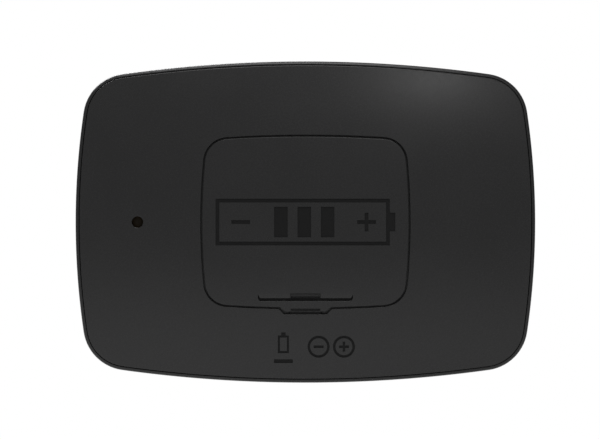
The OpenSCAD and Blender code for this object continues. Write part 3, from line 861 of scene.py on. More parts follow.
BLACK = (0.0215, 0.0215, 0.0218)
FINISHES = {
    "cover": Moulded("cover_plastic", BLACK, roughness=0.27, relief=0.0015),
    "case": Moulded("case_plastic", shade(BLACK, 0.96), roughness=0.27, relief=0.0015),
    # mark: the recessed signs' floors get a darker colour, painted shade that stands in for the shade inside the
    # grooves
    "mark": Moulded("painted_shade_mark_floor", shade(BLACK, 0.4), roughness=0.5, relief=0.002, mirror=0.22),
    "lens": Clear("lens_acrylic", (0.93, 0.95, 0.95)),
    "film": Clear("adhesive_film", (0.86, 0.88, 0.88), roughness=0.22, haze=0.12),
    "ink": Moulded("mask_ink", (0.006, 0.006, 0.007), roughness=0.3, relief=0.001),
    "blue": Moulded("sign_blue", (0.008, 0.075, 0.42), roughness=0.42, relief=0.002, unevenness=0.04),
    "white": Moulded("sign_white", (0.8, 0.8, 0.79), roughness=0.45, relief=0.002, unevenness=0.02),
    "display": Moulded("display_film", (0.36, 0.4, 0.34), roughness=0.3, relief=0.001, unevenness=0.05),
    "segment": Moulded("display_segment", (0.02, 0.024, 0.03), roughness=0.35, relief=0.001),
    "glass": Clear("display_glass", (0.8, 0.86, 0.83)),
    "reflector": Moulded("reflector_film", (0.55, 0.58, 0.52), roughness=0.35, relief=0.002),
    "solar": Moulded("solar_glass", (0.03, 0.013, 0.02), roughness=0.36, grain=2.5, relief=0.0002,
                     unevenness=0.06),
    "stripe": Metal("solar_stripe", (0.34, 0.29, 0.27), roughness=0.4),
    "foam": Moulded("foam", (0.03, 0.03, 0.031), roughness=0.92, grain=0.28, relief=0.09, unevenness=0.35),
    "rubber": Moulded("contact_rubber", (0.1, 0.1, 0.105), roughness=0.75, relief=0.01),
    "board": Moulded("board_mask", (0.008, 0.085, 0.035), roughness=0.32, grain=0.5, relief=0.004, patch=3),
    "chip": Moulded("chip_epoxy", (0.018, 0.018, 0.018), roughness=0.6, relief=0.008),
    "ceramic": Moulded("ceramic", (0.4, 0.27, 0.14), roughness=0.4, relief=0.004),
    "sleeve": Moulded("capacitor_sleeve", (0.03, 0.035, 0.1), roughness=0.3, relief=0.003),
    "switch": Moulded("switch_plastic", (0.02, 0.02, 0.02), roughness=0.5, relief=0.006),
    "plunger": Moulded("plunger_plastic", (0.03, 0.019, 0.007), roughness=0.5, relief=0.005, mirror=0.25),
    "steel": Metal("steel", (0.58, 0.58, 0.57)),
    "tin": Metal("tinned_metal", (0.66, 0.66, 0.64), roughness=0.34),
    "nickel": Metal("nickel_plate", (0.66, 0.63, 0.58), roughness=0.24, streak=(1, 1, 0.15)),
    "copper": Metal("copper_wire", (0.72, 0.32, 0.17), roughness=0.3),
    "cell_black": Moulded("cell_sleeve_black", (0.018, 0.018, 0.02), roughness=0.24, grain=0.6, relief=0.002,
                          coat=0.4),
    "cell_copper": Metal("cell_sleeve_copper", (0.62, 0.3, 0.13), roughness=0.24),
    "cell_can": Metal("cell_can", (0.62, 0.62, 0.6), roughness=0.2, streak=(1, 1, 1)),
}


@dataclass
class Palette:
    """The materials of all finishes, each made once."""

    made: dict[str, bpy.types.Material] = field(default_factory=dict)

    def __getitem__(self, key: str) -> bpy.types.Material:
        """The material of a finish.

        Args:
            key: Name of the finish in FINISHES.

        Returns:
            The material, which is made when it is first asked for.
        """
        if key not in self.made:
            self.made[key] = FINISHES[key].material()
        return self.made[key]


class Growth:
    """A Geometry Nodes tree with named sizes, which grows into a plain mesh."""

    def __init__(self, name: str, sizes: Mapping[str, float]) -> None:
        """Makes the tree and its inputs.

        Args:
            name: Name of the tree.
            sizes: Its inputs with their values. A whole number makes a count.
        """
        self.name = name
        self.sizes = sizes
        self.tree = bpy.data.node_groups.new(name, "GeometryNodeTree")
        for label, value in sizes.items():
            kind = "NodeSocketInt" if isinstance(value, int) else "NodeSocketFloat"
            self.tree.interface.new_socket(name=label, in_out="INPUT", socket_type=kind)
        self.tree.interface.new_socket(name="Geometry", in_out="OUTPUT", socket_type="NodeSocketGeometry")
        self.graph = Graph(self.tree)
        self.inputs = self.graph.node("NodeGroupInput").outputs

    def __getitem__(self, label: str) -> Value:
        """One of the inputs."""
        return Value(self.graph, self.inputs[label])

    def vector(self, x: Any = 0.0, y: Any = 0.0, z: Any = 0.0) -> bpy.types.NodeSocket:
        """A vector of three values or numbers."""
        return self.graph.node("ShaderNodeCombineXYZ", inputs={0: x, 1: y, 2: z}).outputs[0]

    def grown(self, geometry: bpy.types.NodeSocket, material: bpy.types.Material, place: Matrix) -> bpy.types.Object:
        """Evaluates the tree.

        Args:
            geometry: What it ends in.
            material: Material of the result.
            place: Where the result goes, in metres.

        Returns:
            A plain mesh object.
        """
        real = self.graph.node("GeometryNodeRealizeInstances", inputs={"Geometry": geometry})
        dressed = self.graph.node("GeometryNodeSetMaterial", inputs={
            "Geometry": real.outputs[0], "Material": material})
        self.graph.node("NodeGroupOutput", inputs={0: dressed.outputs[0]})
        mesh = bpy.data.meshes.new(self.name)
        made = bpy.data.objects.new(self.name, mesh)
        bpy.context.scene.collection.objects.link(made)
        modifier = made.modifiers.new("grow", "NODES")
        modifier.node_group = self.tree
        for item in self.tree.interface.items_tree:
            if item.in_out == "INPUT":
                modifier[item.identifier] = self.sizes[item.name]
        made = settled(made, sharp=50)
        made.data.transform(place)
        return made


# ---------------------------------------------------------------- the disc


@dataclass(frozen=True)
class Disc:
    """Outlines, surfaces and depths that the sub-assemblies share."""

    case: Barrel
    door: Barrel
    crown: Crown
    rim: float = 0.82
    groove: float = 0.18
    wall: float = 2.54
    rim_step: float = 0.3
    skin: float = 1.8
    seat: float = 12.606
    door_t: float = 1.5
    door_gap: float = 0.5
    strip_top: float = -19.36
    strip_end: float = 10.75
    tab_end: float = -21.94
    notch_end: float = -22.64
    hinge_z: float = 21.3
    hinge_depth: float = 19.712
    switch_x: float = -41.2
    stroke: float = 0.9
    mark_depth: float = 0.2

    @staticmethod
    def from_frame() -> "Disc":
        """Takes the overall sizes from the frame.

        Returns:
            The disc.
        """
        _, case_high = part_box("front_case")
        door_low, door_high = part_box("battery_door")
        _, cover_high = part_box("rear_cover")
        half_width, half_height = case_high.x / MM, case_high.z / MM
        LOG.info("case %.1f x %.1f, cover %.1f", 2 * half_width, 2 * half_height, 2 * cover_high.x / MM)
        door_inset, door_half_height = 0.347, 20.9
        return Disc(
            case=Barrel(half_width, half_height, side_r=194, top_r=336, corner_r=11,
                        side_steps=26, corner_steps=14, top_steps=44),
            door=Barrel(door_high.x / MM - door_inset, door_half_height, side_r=162, top_r=316, corner_r=5.6,
                        side_steps=14, corner_steps=10, top_steps=22),
            crown=Crown(-door_low.y / MM, half_width, half_height),
        )

    def sector(self, inner: float, outer: float, start: float, end: float, steps: int = 18) -> Loop:
        """Section (z, depth) of a curved bar about the line on which the door turns.

        Args:
            inner: Its inner radius.
            outer: Its outer radius.
            start: Angle of its first end in degrees, where 0 points to the glass and 90 up.
            end: Angle of its other end.
            steps: Steps between them.

        Returns:
            The section.
        """
        low, high = math.radians(start), math.radians(end)
        bent = np.vstack([arc((0, 0), outer, low, high, steps), arc((0, 0), inner, high, low, steps)])
        return np.column_stack([self.hinge_z + bent[:, 1], self.hinge_depth - bent[:, 0]])


def bar(x: float, z: float, width: float, height: float) -> Loop:
    """A straight stroke about (x, z)."""
    return rectangle(width / 2, height / 2, 0, x, z)


def cross(x: float, z: float, width: float, stroke: float) -> Loop:
    """A plus sign.

    Args:
        x: X of its middle.
        z: Z of its middle.
        width: Its width and height.
        stroke: Width of its strokes.

    Returns:
        Its outline.
    """
    far, near = width / 2, stroke / 2
    corners = [(far, -near), (far, near), (near, near), (near, far), (-near, far), (-near, near), (-far, near),
               (-far, -near), (-near, -near), (-near, -far), (near, -far), (near, -near)]
    return spaced(np.array(corners) + [x, z], OUTLINE_STEP)


def cell_sign(width: float, height: float, stroke: float) -> list[Loop]:
    """A cell seen from the side, about the origin, with its nub to the right.

    Args:
        width: Its length without the nub.
        height: Its height.
        stroke: Width of its line.

    Returns:
        Its outer and its inner outline.
    """
    w, h, nub = width / 2, height / 2, height / 5
    outer = np.array([(-w, -h), (w, -h), (w, -nub), (w + 1.5 * stroke, -nub), (w + 1.5 * stroke, nub), (w, nub),
                      (w, h), (-w, h)])
    return [spaced(outer, OUTLINE_STEP), bar(0, 0, width - 2 * stroke, height - 2 * stroke)]


@dataclass
class RearCover:
    """The crowned rear cover with the opening for the door, the hole of the set switch and the moulded signs."""

    disc: Disc
    edge_r: float = 0.13
    opening_r: float = 0.06
    notch_x: tuple[float, float, float] = (7.6, 6.44, 5.2)
    notch_r: float = 0.3
    hole_r: float = 1.4
    hole_edge_r: float = 0.12
    ledge: float = 0.98
    ledge_top: float = 1.6
    ledge_low: float = 2.7
    frame_half: tuple[float, float] = (27.02, 25.7)
    frame_r: float = 0.6
    guide_r: tuple[float, float] = (2.05, 3.15)
    guide_depths: tuple[float, float] = (16.95, 10.2)
    sign: float = 5.4
    sign_z: float = -30.58
    sign_line: float = 0.5
    snap_x: float = 16.95
    snap_half: float = 3
    snap_section: tuple[tuple[float, float], ...] = (
        (-1.35, 1.2), (0.45, 1.2), (0.45, 0.2), (-0.15, 0.2), (-0.15, -1.5), (0.4, -1.5), (0.4, -1.75),
        (-0.15, -2.4), (-0.15, -3.0), (-1.35, -3.0))
    tab_x: float = 10
    tab_room_half: float = 2.8
    tab_room_r: tuple[float, float] = (2.05, 3.35)
    tab_room_turn: tuple[float, float] = (-88, 64)
    latch_room_half: float = 4.1
    latch_room_z: tuple[float, float] = (-19.1, -23.32)
    latch_room_depths: tuple[float, float, float] = (15, 17.69, 18.3)

    def opening(self) -> Loop:
        """Draws the opening, which is the door's outline with the notch for the finger tab.

        Returns:
            Its outline.
        """
        gap, end, radius = self.disc.door_gap, self.disc.notch_end, self.notch_r
        far, root, near = self.notch_x
        far_z, root_z = (self.disc.door.bottom(x, -gap) for x in (far, root))
        right = [(near, end, radius), (root, root_z, radius), (far, far_z, 0)]
        corners = [(-x, z, r) for x, z, r in right[::-1]] + right
        path = spaced(rounded(corners, closed=False), 1.2, closed=False)
        return self.disc.door.with_bottom(-gap, path)

    def signs(self) -> list[Loop]:
        """Draws a small upright cell over a bar, and a minus and a plus sign in rings.

        Returns:
            Their outlines.
        """
        size, line = self.sign, self.sign_line
        upright = [loop @ np.array([[0, 1], [-1, 0]]) + [-size, self.sign_z + 0.6]
                   for loop in cell_sign(size * 0.8, size * 0.5, line)]
        made = [*upright, bar(-size, self.sign_z - size * 0.66, size * 0.85, self.disc.stroke)]
        minus_x, plus_x = size * 0.6, size * (0.6 + 1.15)
        stroke, width = 1.2 * line, size * 0.45
        for x in (minus_x, plus_x):
            made += [circle(x, self.sign_z, size / 2), circle(x, self.sign_z, size / 2 - stroke)]
        made.append(bar(minus_x, self.sign_z, width, stroke))
        made.append(cross(plus_x, self.sign_z, width, stroke))
        return made

    def shell(self) -> Solid:
        """Draws the cover without its snap hooks and the rooms cut into its ledge.

        Returns:
            The cover's shell.
        """
        disc, crown = self.disc, self.disc.crown
        solid = Solid()
        outer, inner = disc.case.loop(disc.rim + disc.groove), disc.case.loop(disc.wall)
        opening, signs = self.opening(), self.signs()
        hole = circle(disc.switch_x, 0, self.hole_r)
        tube_in, tube_out = (circle(disc.switch_x, 0, radius) for radius in self.guide_r)
        tube_top, tube_end = self.guide_depths
        block = rectangle(*self.frame_half, self.frame_r)
        ledge = disc.door.loop(self.ledge)

        top_outer, wall_start = solid.edge(outer, crown, self.edge_r)
        solid.wall(outer, wall_start, disc.seat)
        top_opening, wall_start = solid.edge(opening, crown, self.opening_r, into=-1)
        solid.wall(opening, wall_start, crown.depth(opening, self.ledge_top))
        top_hole, wall_start = solid.edge(hole, crown, self.hole_edge_r, into=-1)
        solid.wall(hole, wall_start, tube_top)
        solid.sheet([top_outer, top_opening, top_hole, *signs], crown.depth)
        # the signs' recess floors take the mark finish, whose darker colour is painted shade
        solid.recess(signs, crown, disc.mark_depth, slot=1)

        solid.strip(solid.chain(outer, disc.seat), solid.chain(inner, disc.seat))
        solid.wall(inner, disc.seat, crown.depth(inner, disc.skin))
        solid.sheet([inner, block, tube_out], crown.lowered(disc.skin), 3)
        solid.wall(block, crown.depth(block, disc.skin), crown.depth(block, self.ledge_low))
        solid.sheet([block, ledge], crown.lowered(self.ledge_low), 3)
        solid.wall(ledge, crown.depth(ledge, self.ledge_low), crown.depth(ledge, self.ledge_top))
        solid.sheet([opening, ledge], crown.lowered(self.ledge_top), 1.6)

        solid.strip(solid.chain(hole, tube_top), solid.chain(tube_in, tube_top))
        solid.wall(tube_in, tube_top, tube_end)
        solid.strip(solid.chain(tube_in, tube_end), solid.chain(tube_out, tube_end))
        solid.wall(tube_out, tube_end, crown.depth(tube_out, disc.skin))
        return solid

    def rooms(self) -> Solid:
        """Draws what the door's curved tabs and the latch's hook need cut out of the ledge.

        Returns:
            The rooms.
        """
        room = Solid()
        for x in (-self.tab_x, self.tab_x):
            room.prism(self.disc.sector(*self.tab_room_r, *self.tab_room_turn),
                       x - self.tab_room_half, x + self.tab_room_half)
        high, low = self.latch_room_z
        deep, lip, near = self.latch_room_depths
        end = self.disc.notch_end + 0.02
        section = [(high, deep), (high, near), (end, near), (end, lip), (low, lip), (low, deep)]
        room.prism(np.array(section), -self.latch_room_half, self.latch_room_half)
        return room

    def snaps(self) -> Solid:
        """Draws the four snap hooks that hold the cover in the case.

        Returns:
            The hooks.
        """
        hooks = Solid()
        wall = -self.disc.case.bottom(self.snap_x) - self.disc.wall
        seat = self.disc.seat
        section = np.array(self.snap_section)
        for x in (-self.snap_x, self.snap_x):
            for side in (-1, 1):
                profile = np.column_stack([side * (wall + section[:, 0]), seat + section[:, 1]])
                hooks.prism(profile, x - self.snap_half, x + self.snap_half)
        return hooks

    def build(self, palette: Palette) -> bpy.types.Object:
        """Makes the cover.

        Args:
            palette: The materials.

        Returns:
            The cover's object.
        """
        made = self.shell().made("rear_cover_shell", palette["cover"], palette["mark"])
        made = carved(made, self.rooms())
        return joined(made, self.snaps().made("snap_hooks", palette["cover"]))

    def dress(self, made: bpy.types.Object) -> None:
        """Puts the cover in its node's place."""
        mount(made, Body.HOUSING, "cover_black", "rear_cover")


@dataclass
class FrontCase:
    """The shallow case that holds the display side, with its rim round the rear cover."""

    disc: Disc
    rim_outer_r: float = 0.6
    rim_inner_r: float = 0.08
    rim_support: float = 0.05
    front: float = 0.8
    front_edge: tuple[float, float] = (1.2, 2.6)
    front_steps: int = 8
    bezel: float = 3.0
    bezel_r: float = 0.25
    bezel_steps: int = 4
    recess: float = 2.2
    wall_back: float = 3.4
    window_half: tuple[float, float] = (47.69, 29.8)
    boss_r: tuple[float, float] = (2.2, 1.0)
    boss_depths: tuple[float, float] = (4.8, 3.05)
    bosses: tuple[tuple[float, float], ...] = (
        (29.38, 32.61), (-29.38, 32.61), (29.38, -32.61), (-29.38, -32.61), (50.9, 0), (-50.9, 0))
    pocket_half: float = 3.5
    pocket_reach: tuple[float, float] = (-1, 0.8)
    pocket_drop: tuple[float, float] = (2.8, 1.2)

    def shell(self) -> Solid:
        """Draws the case without the pockets for the snap hooks.

        Returns:
            The case's shell.
        """
        disc, crown = self.disc, self.disc.crown
        solid = Solid()
        outline, rim_in, inner = (disc.case.loop(inset) for inset in (0, disc.rim, disc.wall))
        top_out, out_start = solid.edge(outline, crown, self.rim_outer_r, disc.rim_step,
                                        support=self.rim_support, steps=6)
        top_in, in_start = solid.edge(rim_in, crown, self.rim_inner_r, disc.rim_step, into=-1,
                                      support=self.rim_support)
        solid.strip(solid.chain(top_out, crown.depth(top_out, disc.rim_step)),
                    solid.chain(top_in, crown.depth(top_in, disc.rim_step)))
        solid.wall(rim_in, in_start, disc.seat)
        solid.strip(solid.chain(rim_in, disc.seat), solid.chain(inner, disc.seat))
        solid.wall(inner, disc.seat, self.wall_back)

        width, depth = self.front_edge
        last = solid.chain(outline, out_start)
        for k in range(self.front_steps + 1):
            angle = math.pi / 2 * k / self.front_steps
            here = solid.chain(disc.case.loop(width * (1 - math.cos(angle))),
                               self.front + depth * (1 - math.sin(angle)))
            solid.strip(last, here)
            last = here
        for k in range(self.bezel_steps + 1):
            angle = math.pi / 2 * k / self.bezel_steps
            here = solid.chain(disc.case.loop(self.bezel - self.bezel_r * (1 - math.sin(angle))),
                               self.front + self.bezel_r * (1 - math.cos(angle)))
            solid.strip(last, here)
            last = here
        seat = disc.case.loop(self.bezel)
        window = rectangle(*self.window_half)
        solid.strip(last, solid.chain(seat, self.recess))
        solid.sheet([seat, window], level(self.recess), 4)
        solid.wall(window, self.recess, self.wall_back)
        posts = [circle(x, z, self.boss_r[0], 32) for x, z in self.bosses]
        solid.sheet([inner, window, *posts], level(self.wall_back), 4)
        for (x, z), post in zip(self.bosses, posts):
            bore = circle(x, z, self.boss_r[1], 32)
            post_top, bore_end = self.boss_depths
            solid.wall(post, self.wall_back, post_top)
            solid.strip(solid.chain(post, post_top), solid.chain(bore, post_top))
            solid.wall(bore, post_top, bore_end)
            solid.face(solid.chain(bore, bore_end))
        return solid

    def pockets(self, snap_x: float) -> Solid:
        """Draws the pockets that the snap hooks catch in.

        Args:
            snap_x: Distance of the snap hooks from the middle.

        Returns:
            The pockets.
        """
        made = Solid()
        wall = -self.disc.case.bottom(snap_x) - self.disc.wall
        near, far = (wall + reach for reach in self.pocket_reach)
        low, high = (self.disc.seat - drop for drop in self.pocket_drop)
        for x in (-snap_x, snap_x):
            for side in (-1, 1):
                profile = [(side * near, low), (side * far, low), (side * far, high), (side * near, high)]
                made.prism(np.array(profile), x - self.pocket_half, x + self.pocket_half)
        return made

    def build(self, palette: Palette, snap_x: float) -> bpy.types.Object:
        """Makes the case.

        Args:
            palette: The materials.
            snap_x: Distance of the snap hooks from the middle.

        Returns:
            The case's object.
        """
        made = self.shell().made("front_case_shell", palette["case"])
        return carved(made, self.pockets(snap_x))

    def dress(self, made: bpy.types.Object) -> None:
        """Puts the case in its node's place."""
        mount(made, Body.HOUSING, "case_black", "front_case")


@dataclass
class BatteryDoor:
    """The door over the batteries, with its finger pocket, window, curved tabs and moulded cell."""

    disc: Disc
    edge_r: float = 0.07
    pocket_edge_r: float = 0.08
    pocket_top: float = -17.45
    pocket_corner: float = 0.85
    slot: float = 0.72
    slot_end: float = 0.4
    slot_fade: float = -17.8
    ramp_depth: float = 0.07
    window_half: float = 3.75
    window_top: float = -17.52
    window_depths: tuple[float, float] = (0.4, 1.0)
    window_r: tuple[float, float] = (0.12, 0.15)
    window_gap: float = 0.2
    window_corner: tuple[float, float] = (0.5, 0.12)
    window_base: float = 0.1
    fade_edge_r: tuple[float, ...] = (0.06, 0.04, 0.02, 0.0)
    mark: tuple[float, float] = (44.0, 11.4)
    tab_x: float = 10
    tab_half: float = 2.5
    tab_r: tuple[float, float] = (2.2, 3.2)
    tab_turn: tuple[float, float] = (-80, 58)

    @property
    def corner_z(self) -> float:
        """Height of the middle of the pocket's lower corners."""
        return self.disc.strip_top + self.pocket_corner

    @property
    def ramp_low(self) -> float:
        """Height at which the pocket's floor ends and the slot begins."""
        return self.disc.strip_top + self.slot

    def ramp(self, flat: Loop) -> np.ndarray:
        """How far the pocket's floor lies below the crown."""
        share = np.clip((self.pocket_top - flat[:, 1]) / (self.pocket_top - self.ramp_low), 0, 1)
        return self.ramp_depth * share**2

    def pocket_side(self) -> Loop:
        """Draws the right half of the pocket's outline, from the strip's end up to its top corner.

        Returns:
            Its points.
        """
        end, corner = self.disc.strip_end, self.pocket_corner
        bend = arc((end, self.corner_z), corner, -math.pi / 2, 0, 8)
        up = [(end + corner, z) for z in np.linspace(self.corner_z, self.slot_fade, 3)[1:]]
        fade = [(end + corner, z)
                for z in np.linspace(self.slot_fade, self.pocket_top, len(self.fade_edge_r) + 1)[1:]]
        return np.vstack([bend, up, fade])

    def ramp_edge(self) -> Loop:
        """Draws the right half of the lower edge of the pocket's floor, with the window in it.

        Returns:
            Its points, from where the slot fades out to the middle.
        """
        end = self.disc.strip_end
        reach = [self.pocket_corner - self.slot_end, self.pocket_corner - self.slot]
        bend = arc((0, 0), 1, 0, -math.pi / 2, 6) * reach + [end, self.corner_z]
        start = [(end + self.pocket_corner, self.slot_fade)]
        low_r, top_r = self.window_r
        window = rounded([(end, self.ramp_low, 0), (self.window_half, self.ramp_low, low_r),
                          (self.window_half, self.window_top, top_r), (0, self.window_top, 0)], closed=False)
        return spaced(np.vstack([start, bend, window[1:]]), 1.2, closed=False)

    def signs(self) -> list[Loop]:
        """Draws a wide cell with a minus sign, three bars and a plus sign in it.

        Returns:
            Their outlines.
        """
        (width, height), stroke = self.mark, self.disc.stroke
        nub = 1.5 * stroke
        body = [loop - [nub / 2, 0] for loop in cell_sign(width - nub, height, stroke)]
        pitch, bar_width, bar_height = width * 0.13, width * 0.075, height - 4.4 * stroke
        bars = [bar((i - 0.05) * pitch, 0, bar_width, bar_height) for i in (-1, 0, 1)]
        minus_x, plus_x, size = -width * 0.36, width * 0.34, height * 0.4
        return [*body, *bars, bar(minus_x, 0, size, stroke), cross(plus_x, 0, size, stroke)]

    def plate(self) -> Solid:
        """Draws the door's plate with its pocket.

        Returns:
            The plate.
        """
        disc, crown = self.disc, self.disc.crown
        solid = Solid()
        side = self.pocket_side()
        cut = spaced(np.array([(disc.strip_end, disc.door.bottom(disc.strip_end)),
                               (disc.strip_end, disc.strip_top)]), 0.6, closed=False)
        right = np.vstack([cut[:-1], side])
        top = spaced(np.array([side[-1] * [-1, 1], side[-1]]), 1.2, closed=False)
        path = np.vstack([right * [-1, 1], top[1:-1], right[::-1]])
        outline = disc.door.with_bottom(0, path)

        radii = np.full(len(outline), self.edge_r)
        cuts, bends = len(cut) - 1, len(side) - 1 - len(self.fade_edge_r)
        curve = [0.0] * cuts + [self.pocket_edge_r] * bends + list(self.fade_edge_r)
        radii[:len(path) - 1] = [*curve, *[0.0] * (len(path) - 1 - 2 * len(curve)), *curve[::-1]]
        start, wall_start = solid.edge(outline, crown, radii)
        signs = self.signs()
        solid.sheet([start, *signs], crown.depth)
        # the signs' recess floors take the mark finish, whose darker colour is painted shade
        solid.recess(signs, crown, disc.mark_depth, slot=1)

        first = cuts + bends
        last = len(path) - 1 - first
        around = np.r_[last:len(outline), 0:first + 1]
        below = crown.depth(outline, disc.door_t)
        solid.wall(outline[around], wall_start[around], below[around], closed=False)
        pocket = outline[first:last + 1]
        solid.wall(pocket, wall_start[first:last + 1], crown.depth(pocket, self.ramp(pocket)), closed=False)

        half = self.ramp_edge()
        edge = np.vstack([half, half[-2::-1] * [-1, 1]])
        solid.wall(edge, crown.depth(edge, self.ramp(edge)), crown.depth(edge, disc.door_t), closed=False)
        solid.sheet([np.vstack([pocket, edge[1:-1]])], lambda flat: crown.depth(flat, self.ramp(flat)), 0.7)
        solid.sheet([np.vstack([outline[around], edge[::-1][1:-1]])], crown.lowered(disc.door_t))
        return solid

    def window_floor(self) -> Solid:
        """Draws the sloping tongue in the window, with a gap round it and an opening at its lower corners.

        Returns:
            The tongue and the base under it.
        """
        crown, low, top = self.disc.crown, self.ramp_low, self.window_top
        corner_x, corner_z = self.window_corner
        far, near = self.window_half - self.window_gap, self.window_half - corner_x
        start, end = self.window_depths

        def slope(flat: Loop) -> np.ndarray:
            """Depth of the tongue."""
            return crown.depth(flat, start + (end - start) * (top - flat[:, 1]) / (top - low))

        end_z, shoulder, head, overlap, step = low - 0.1, low + corner_z, top - self.window_gap, 0.2, 0.8
        tongue = [(-near, end_z), (near, end_z), (near, shoulder), (far, shoulder), (far, head), (-far, head),
                  (-far, shoulder), (-near, shoulder)]
        solid = Solid()
        solid.slab(spaced(np.array(tongue), step), slope, crown.lowered(end + 0.15), step)
        base_top = top + overlap
        base = rectangle(self.window_half + overlap, (base_top - shoulder) / 2, 0, 0, (base_top + shoulder) / 2)
        solid.slab(base, crown.lowered(end + self.window_base), crown.lowered(self.disc.door_t - 0.04), 1.2)
        return solid

    def tabs(self) -> Solid:
        """Draws the two curved tabs that reach under the rear cover.

        Returns:
            The tabs.
        """
        made = Solid()
        for x in (-self.tab_x, self.tab_x):
            made.prism(self.disc.sector(*self.tab_r, *self.tab_turn), x - self.tab_half, x + self.tab_half)
        return made

    def build(self, palette: Palette) -> bpy.types.Object:
        """Makes the door.

        Args:
            palette: The materials.

        Returns:
            The door's object.
        """
        made = self.plate().made("battery_door_plate", palette["cover"], palette["mark"])
        return joined(made, self.window_floor().made("window_floor", palette["cover"]),
                      self.tabs().made("door_tabs", palette["cover"]))

    def dress(self, made: bpy.types.Object) -> None:
        """Puts the door in its node's place."""
        mount(made, Body.DOOR, "cover_black", "battery_door")


@dataclass
class Latch:
    """The strip at the door's lower edge with its finger tab and hook. It bends between its two ends."""

    disc: Disc
    edge_r: float = 0.07
    top_r: float = 0.08
    tab_r: float = 0.06
    tab_half: tuple[float, float] = (6.3, 4.85)
    tab_corner_r: tuple[float, float] = (0.35, 0.25)
    groove: tuple[float, float] = (-21.2, -21.77)
    groove_half: float = 3.6
    groove_depth: float = 1.4
    hook_half: float = 3.8
    hook_z: tuple[float, float, float] = (-21.05, -22.6, -23.02)
    hook_depths: tuple[float, float, float, float] = (16.63, 17.05, 17.53, 18.6)
    stiff_half: float = 4.0

    def half(self) -> Solid:
        """Draws the strip's right half, from the middle of its tab to its end.

        Returns:
            The half without its hook.
        """
        disc, crown = self.disc, self.disc.crown
        solid = Solid()
        end_z = disc.door.bottom(disc.strip_end)
        root, end = self.tab_half
        end_r, root_r = self.tab_corner_r
        high, low = self.groove
        past = root + 0.8
        tab = rounded([(0, low, 0), (0, disc.tab_end, 0), (end, disc.tab_end, end_r),
                       (root, disc.door.bottom(root), root_r), (past, disc.door.bottom(past), 0)], closed=False)
        edge = np.array([(x, disc.door.bottom(x)) for x in np.linspace(past, disc.strip_end, 5)[1:]])
        cut = spaced(np.array([(disc.strip_end, end_z), (disc.strip_end, disc.strip_top)]), 0.6, closed=False)[1:]
        top = spaced(np.array([(disc.strip_end, disc.strip_top), (0, disc.strip_top)]), 1.2, closed=False)[1:]
        middle = spaced(np.array([(0, disc.strip_top), (0, high)]), 0.6, closed=False)[1:]
        around = np.vstack([spaced(tab, 0.9, closed=False), edge, cut, top, middle])
        groove = np.array([(self.groove_half, high), (self.groove_half, low)])
        outline = np.vstack([around, groove])

        ahead = np.roll(outline, -1, 0)
        radii = np.full(len(outline), self.edge_r)
        on_top = (outline[:, 1] == disc.strip_top) & (ahead[:, 1] == disc.strip_top)
        radii[on_top] = self.top_r
        radii[np.minimum(outline[:, 1], ahead[:, 1]) < disc.door.bottom(root) - 0.1] = self.tab_r
        upright = (outline[:, 0] == ahead[:, 0]) & np.isin(outline[:, 0], [0, disc.strip_end])
        radii[upright] = 0
        radii[len(around) - 1:] = 0
        start, wall_start = solid.edge(outline, crown, radii, support=0.05)
        solid.sheet([start], crown.depth, 1.2)
        solid.wall(around, wall_start[:len(around)], crown.depth(around, self.groove_depth), closed=False)
        solid.wall(around, crown.depth(around, self.groove_depth), crown.depth(around, disc.door_t), closed=False)
        dip = np.vstack([around[-1:], groove, around[:1]])
        solid.wall(dip, crown.depth(dip), crown.depth(dip, self.groove_depth), closed=False)
        solid.sheet([dip], crown.lowered(self.groove_depth), 1.2)
        solid.sheet([around], crown.lowered(disc.door_t), 1.2)
        return solid

    def hook(self) -> Solid:
        """Draws the right half of the hook under the tab.

        Returns:
            The half of the hook.
        """
        end = self.disc.tab_end + 0.05
        root, slant, tip = self.hook_z
        deep, nose, lip, top = self.hook_depths
        section = [(root, top), (root, deep), (slant, deep), (tip, nose), (tip, lip), (end, lip), (end, top)]
        made = Solid()
        made.prism(np.array(section), 0, self.hook_half)
        return made

    def build(self, palette: Palette) -> dict[Side, bpy.types.Object]:
        """Makes the two halves.

        Args:
            palette: The materials.

        Returns:
            The half on each side.
        """
        made = {}
        for side in Side:
            strip, hook = self.half(), self.hook()
            if side is Side.LEFT:
                strip, hook = strip.mirrored(), hook.mirrored()
            name = f"latch_{side.name.lower()}"
            made[side] = joined(strip.made(name, palette["cover"]), hook.made("hook", palette["cover"]))
        return made

    def dress(self, halves: dict[Side, bpy.types.Object]) -> None:
        """Bakes each half's placement into its mesh, logs its faces and hides the latch_strip node.

        Args:
            halves: The half on each side.
        """
        for side, half in halves.items():
            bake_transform(half)
            LOG.info("%s: %d faces", half.name, len(half.data.polygons))
        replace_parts(halves[Side.LEFT], "latch_strip")


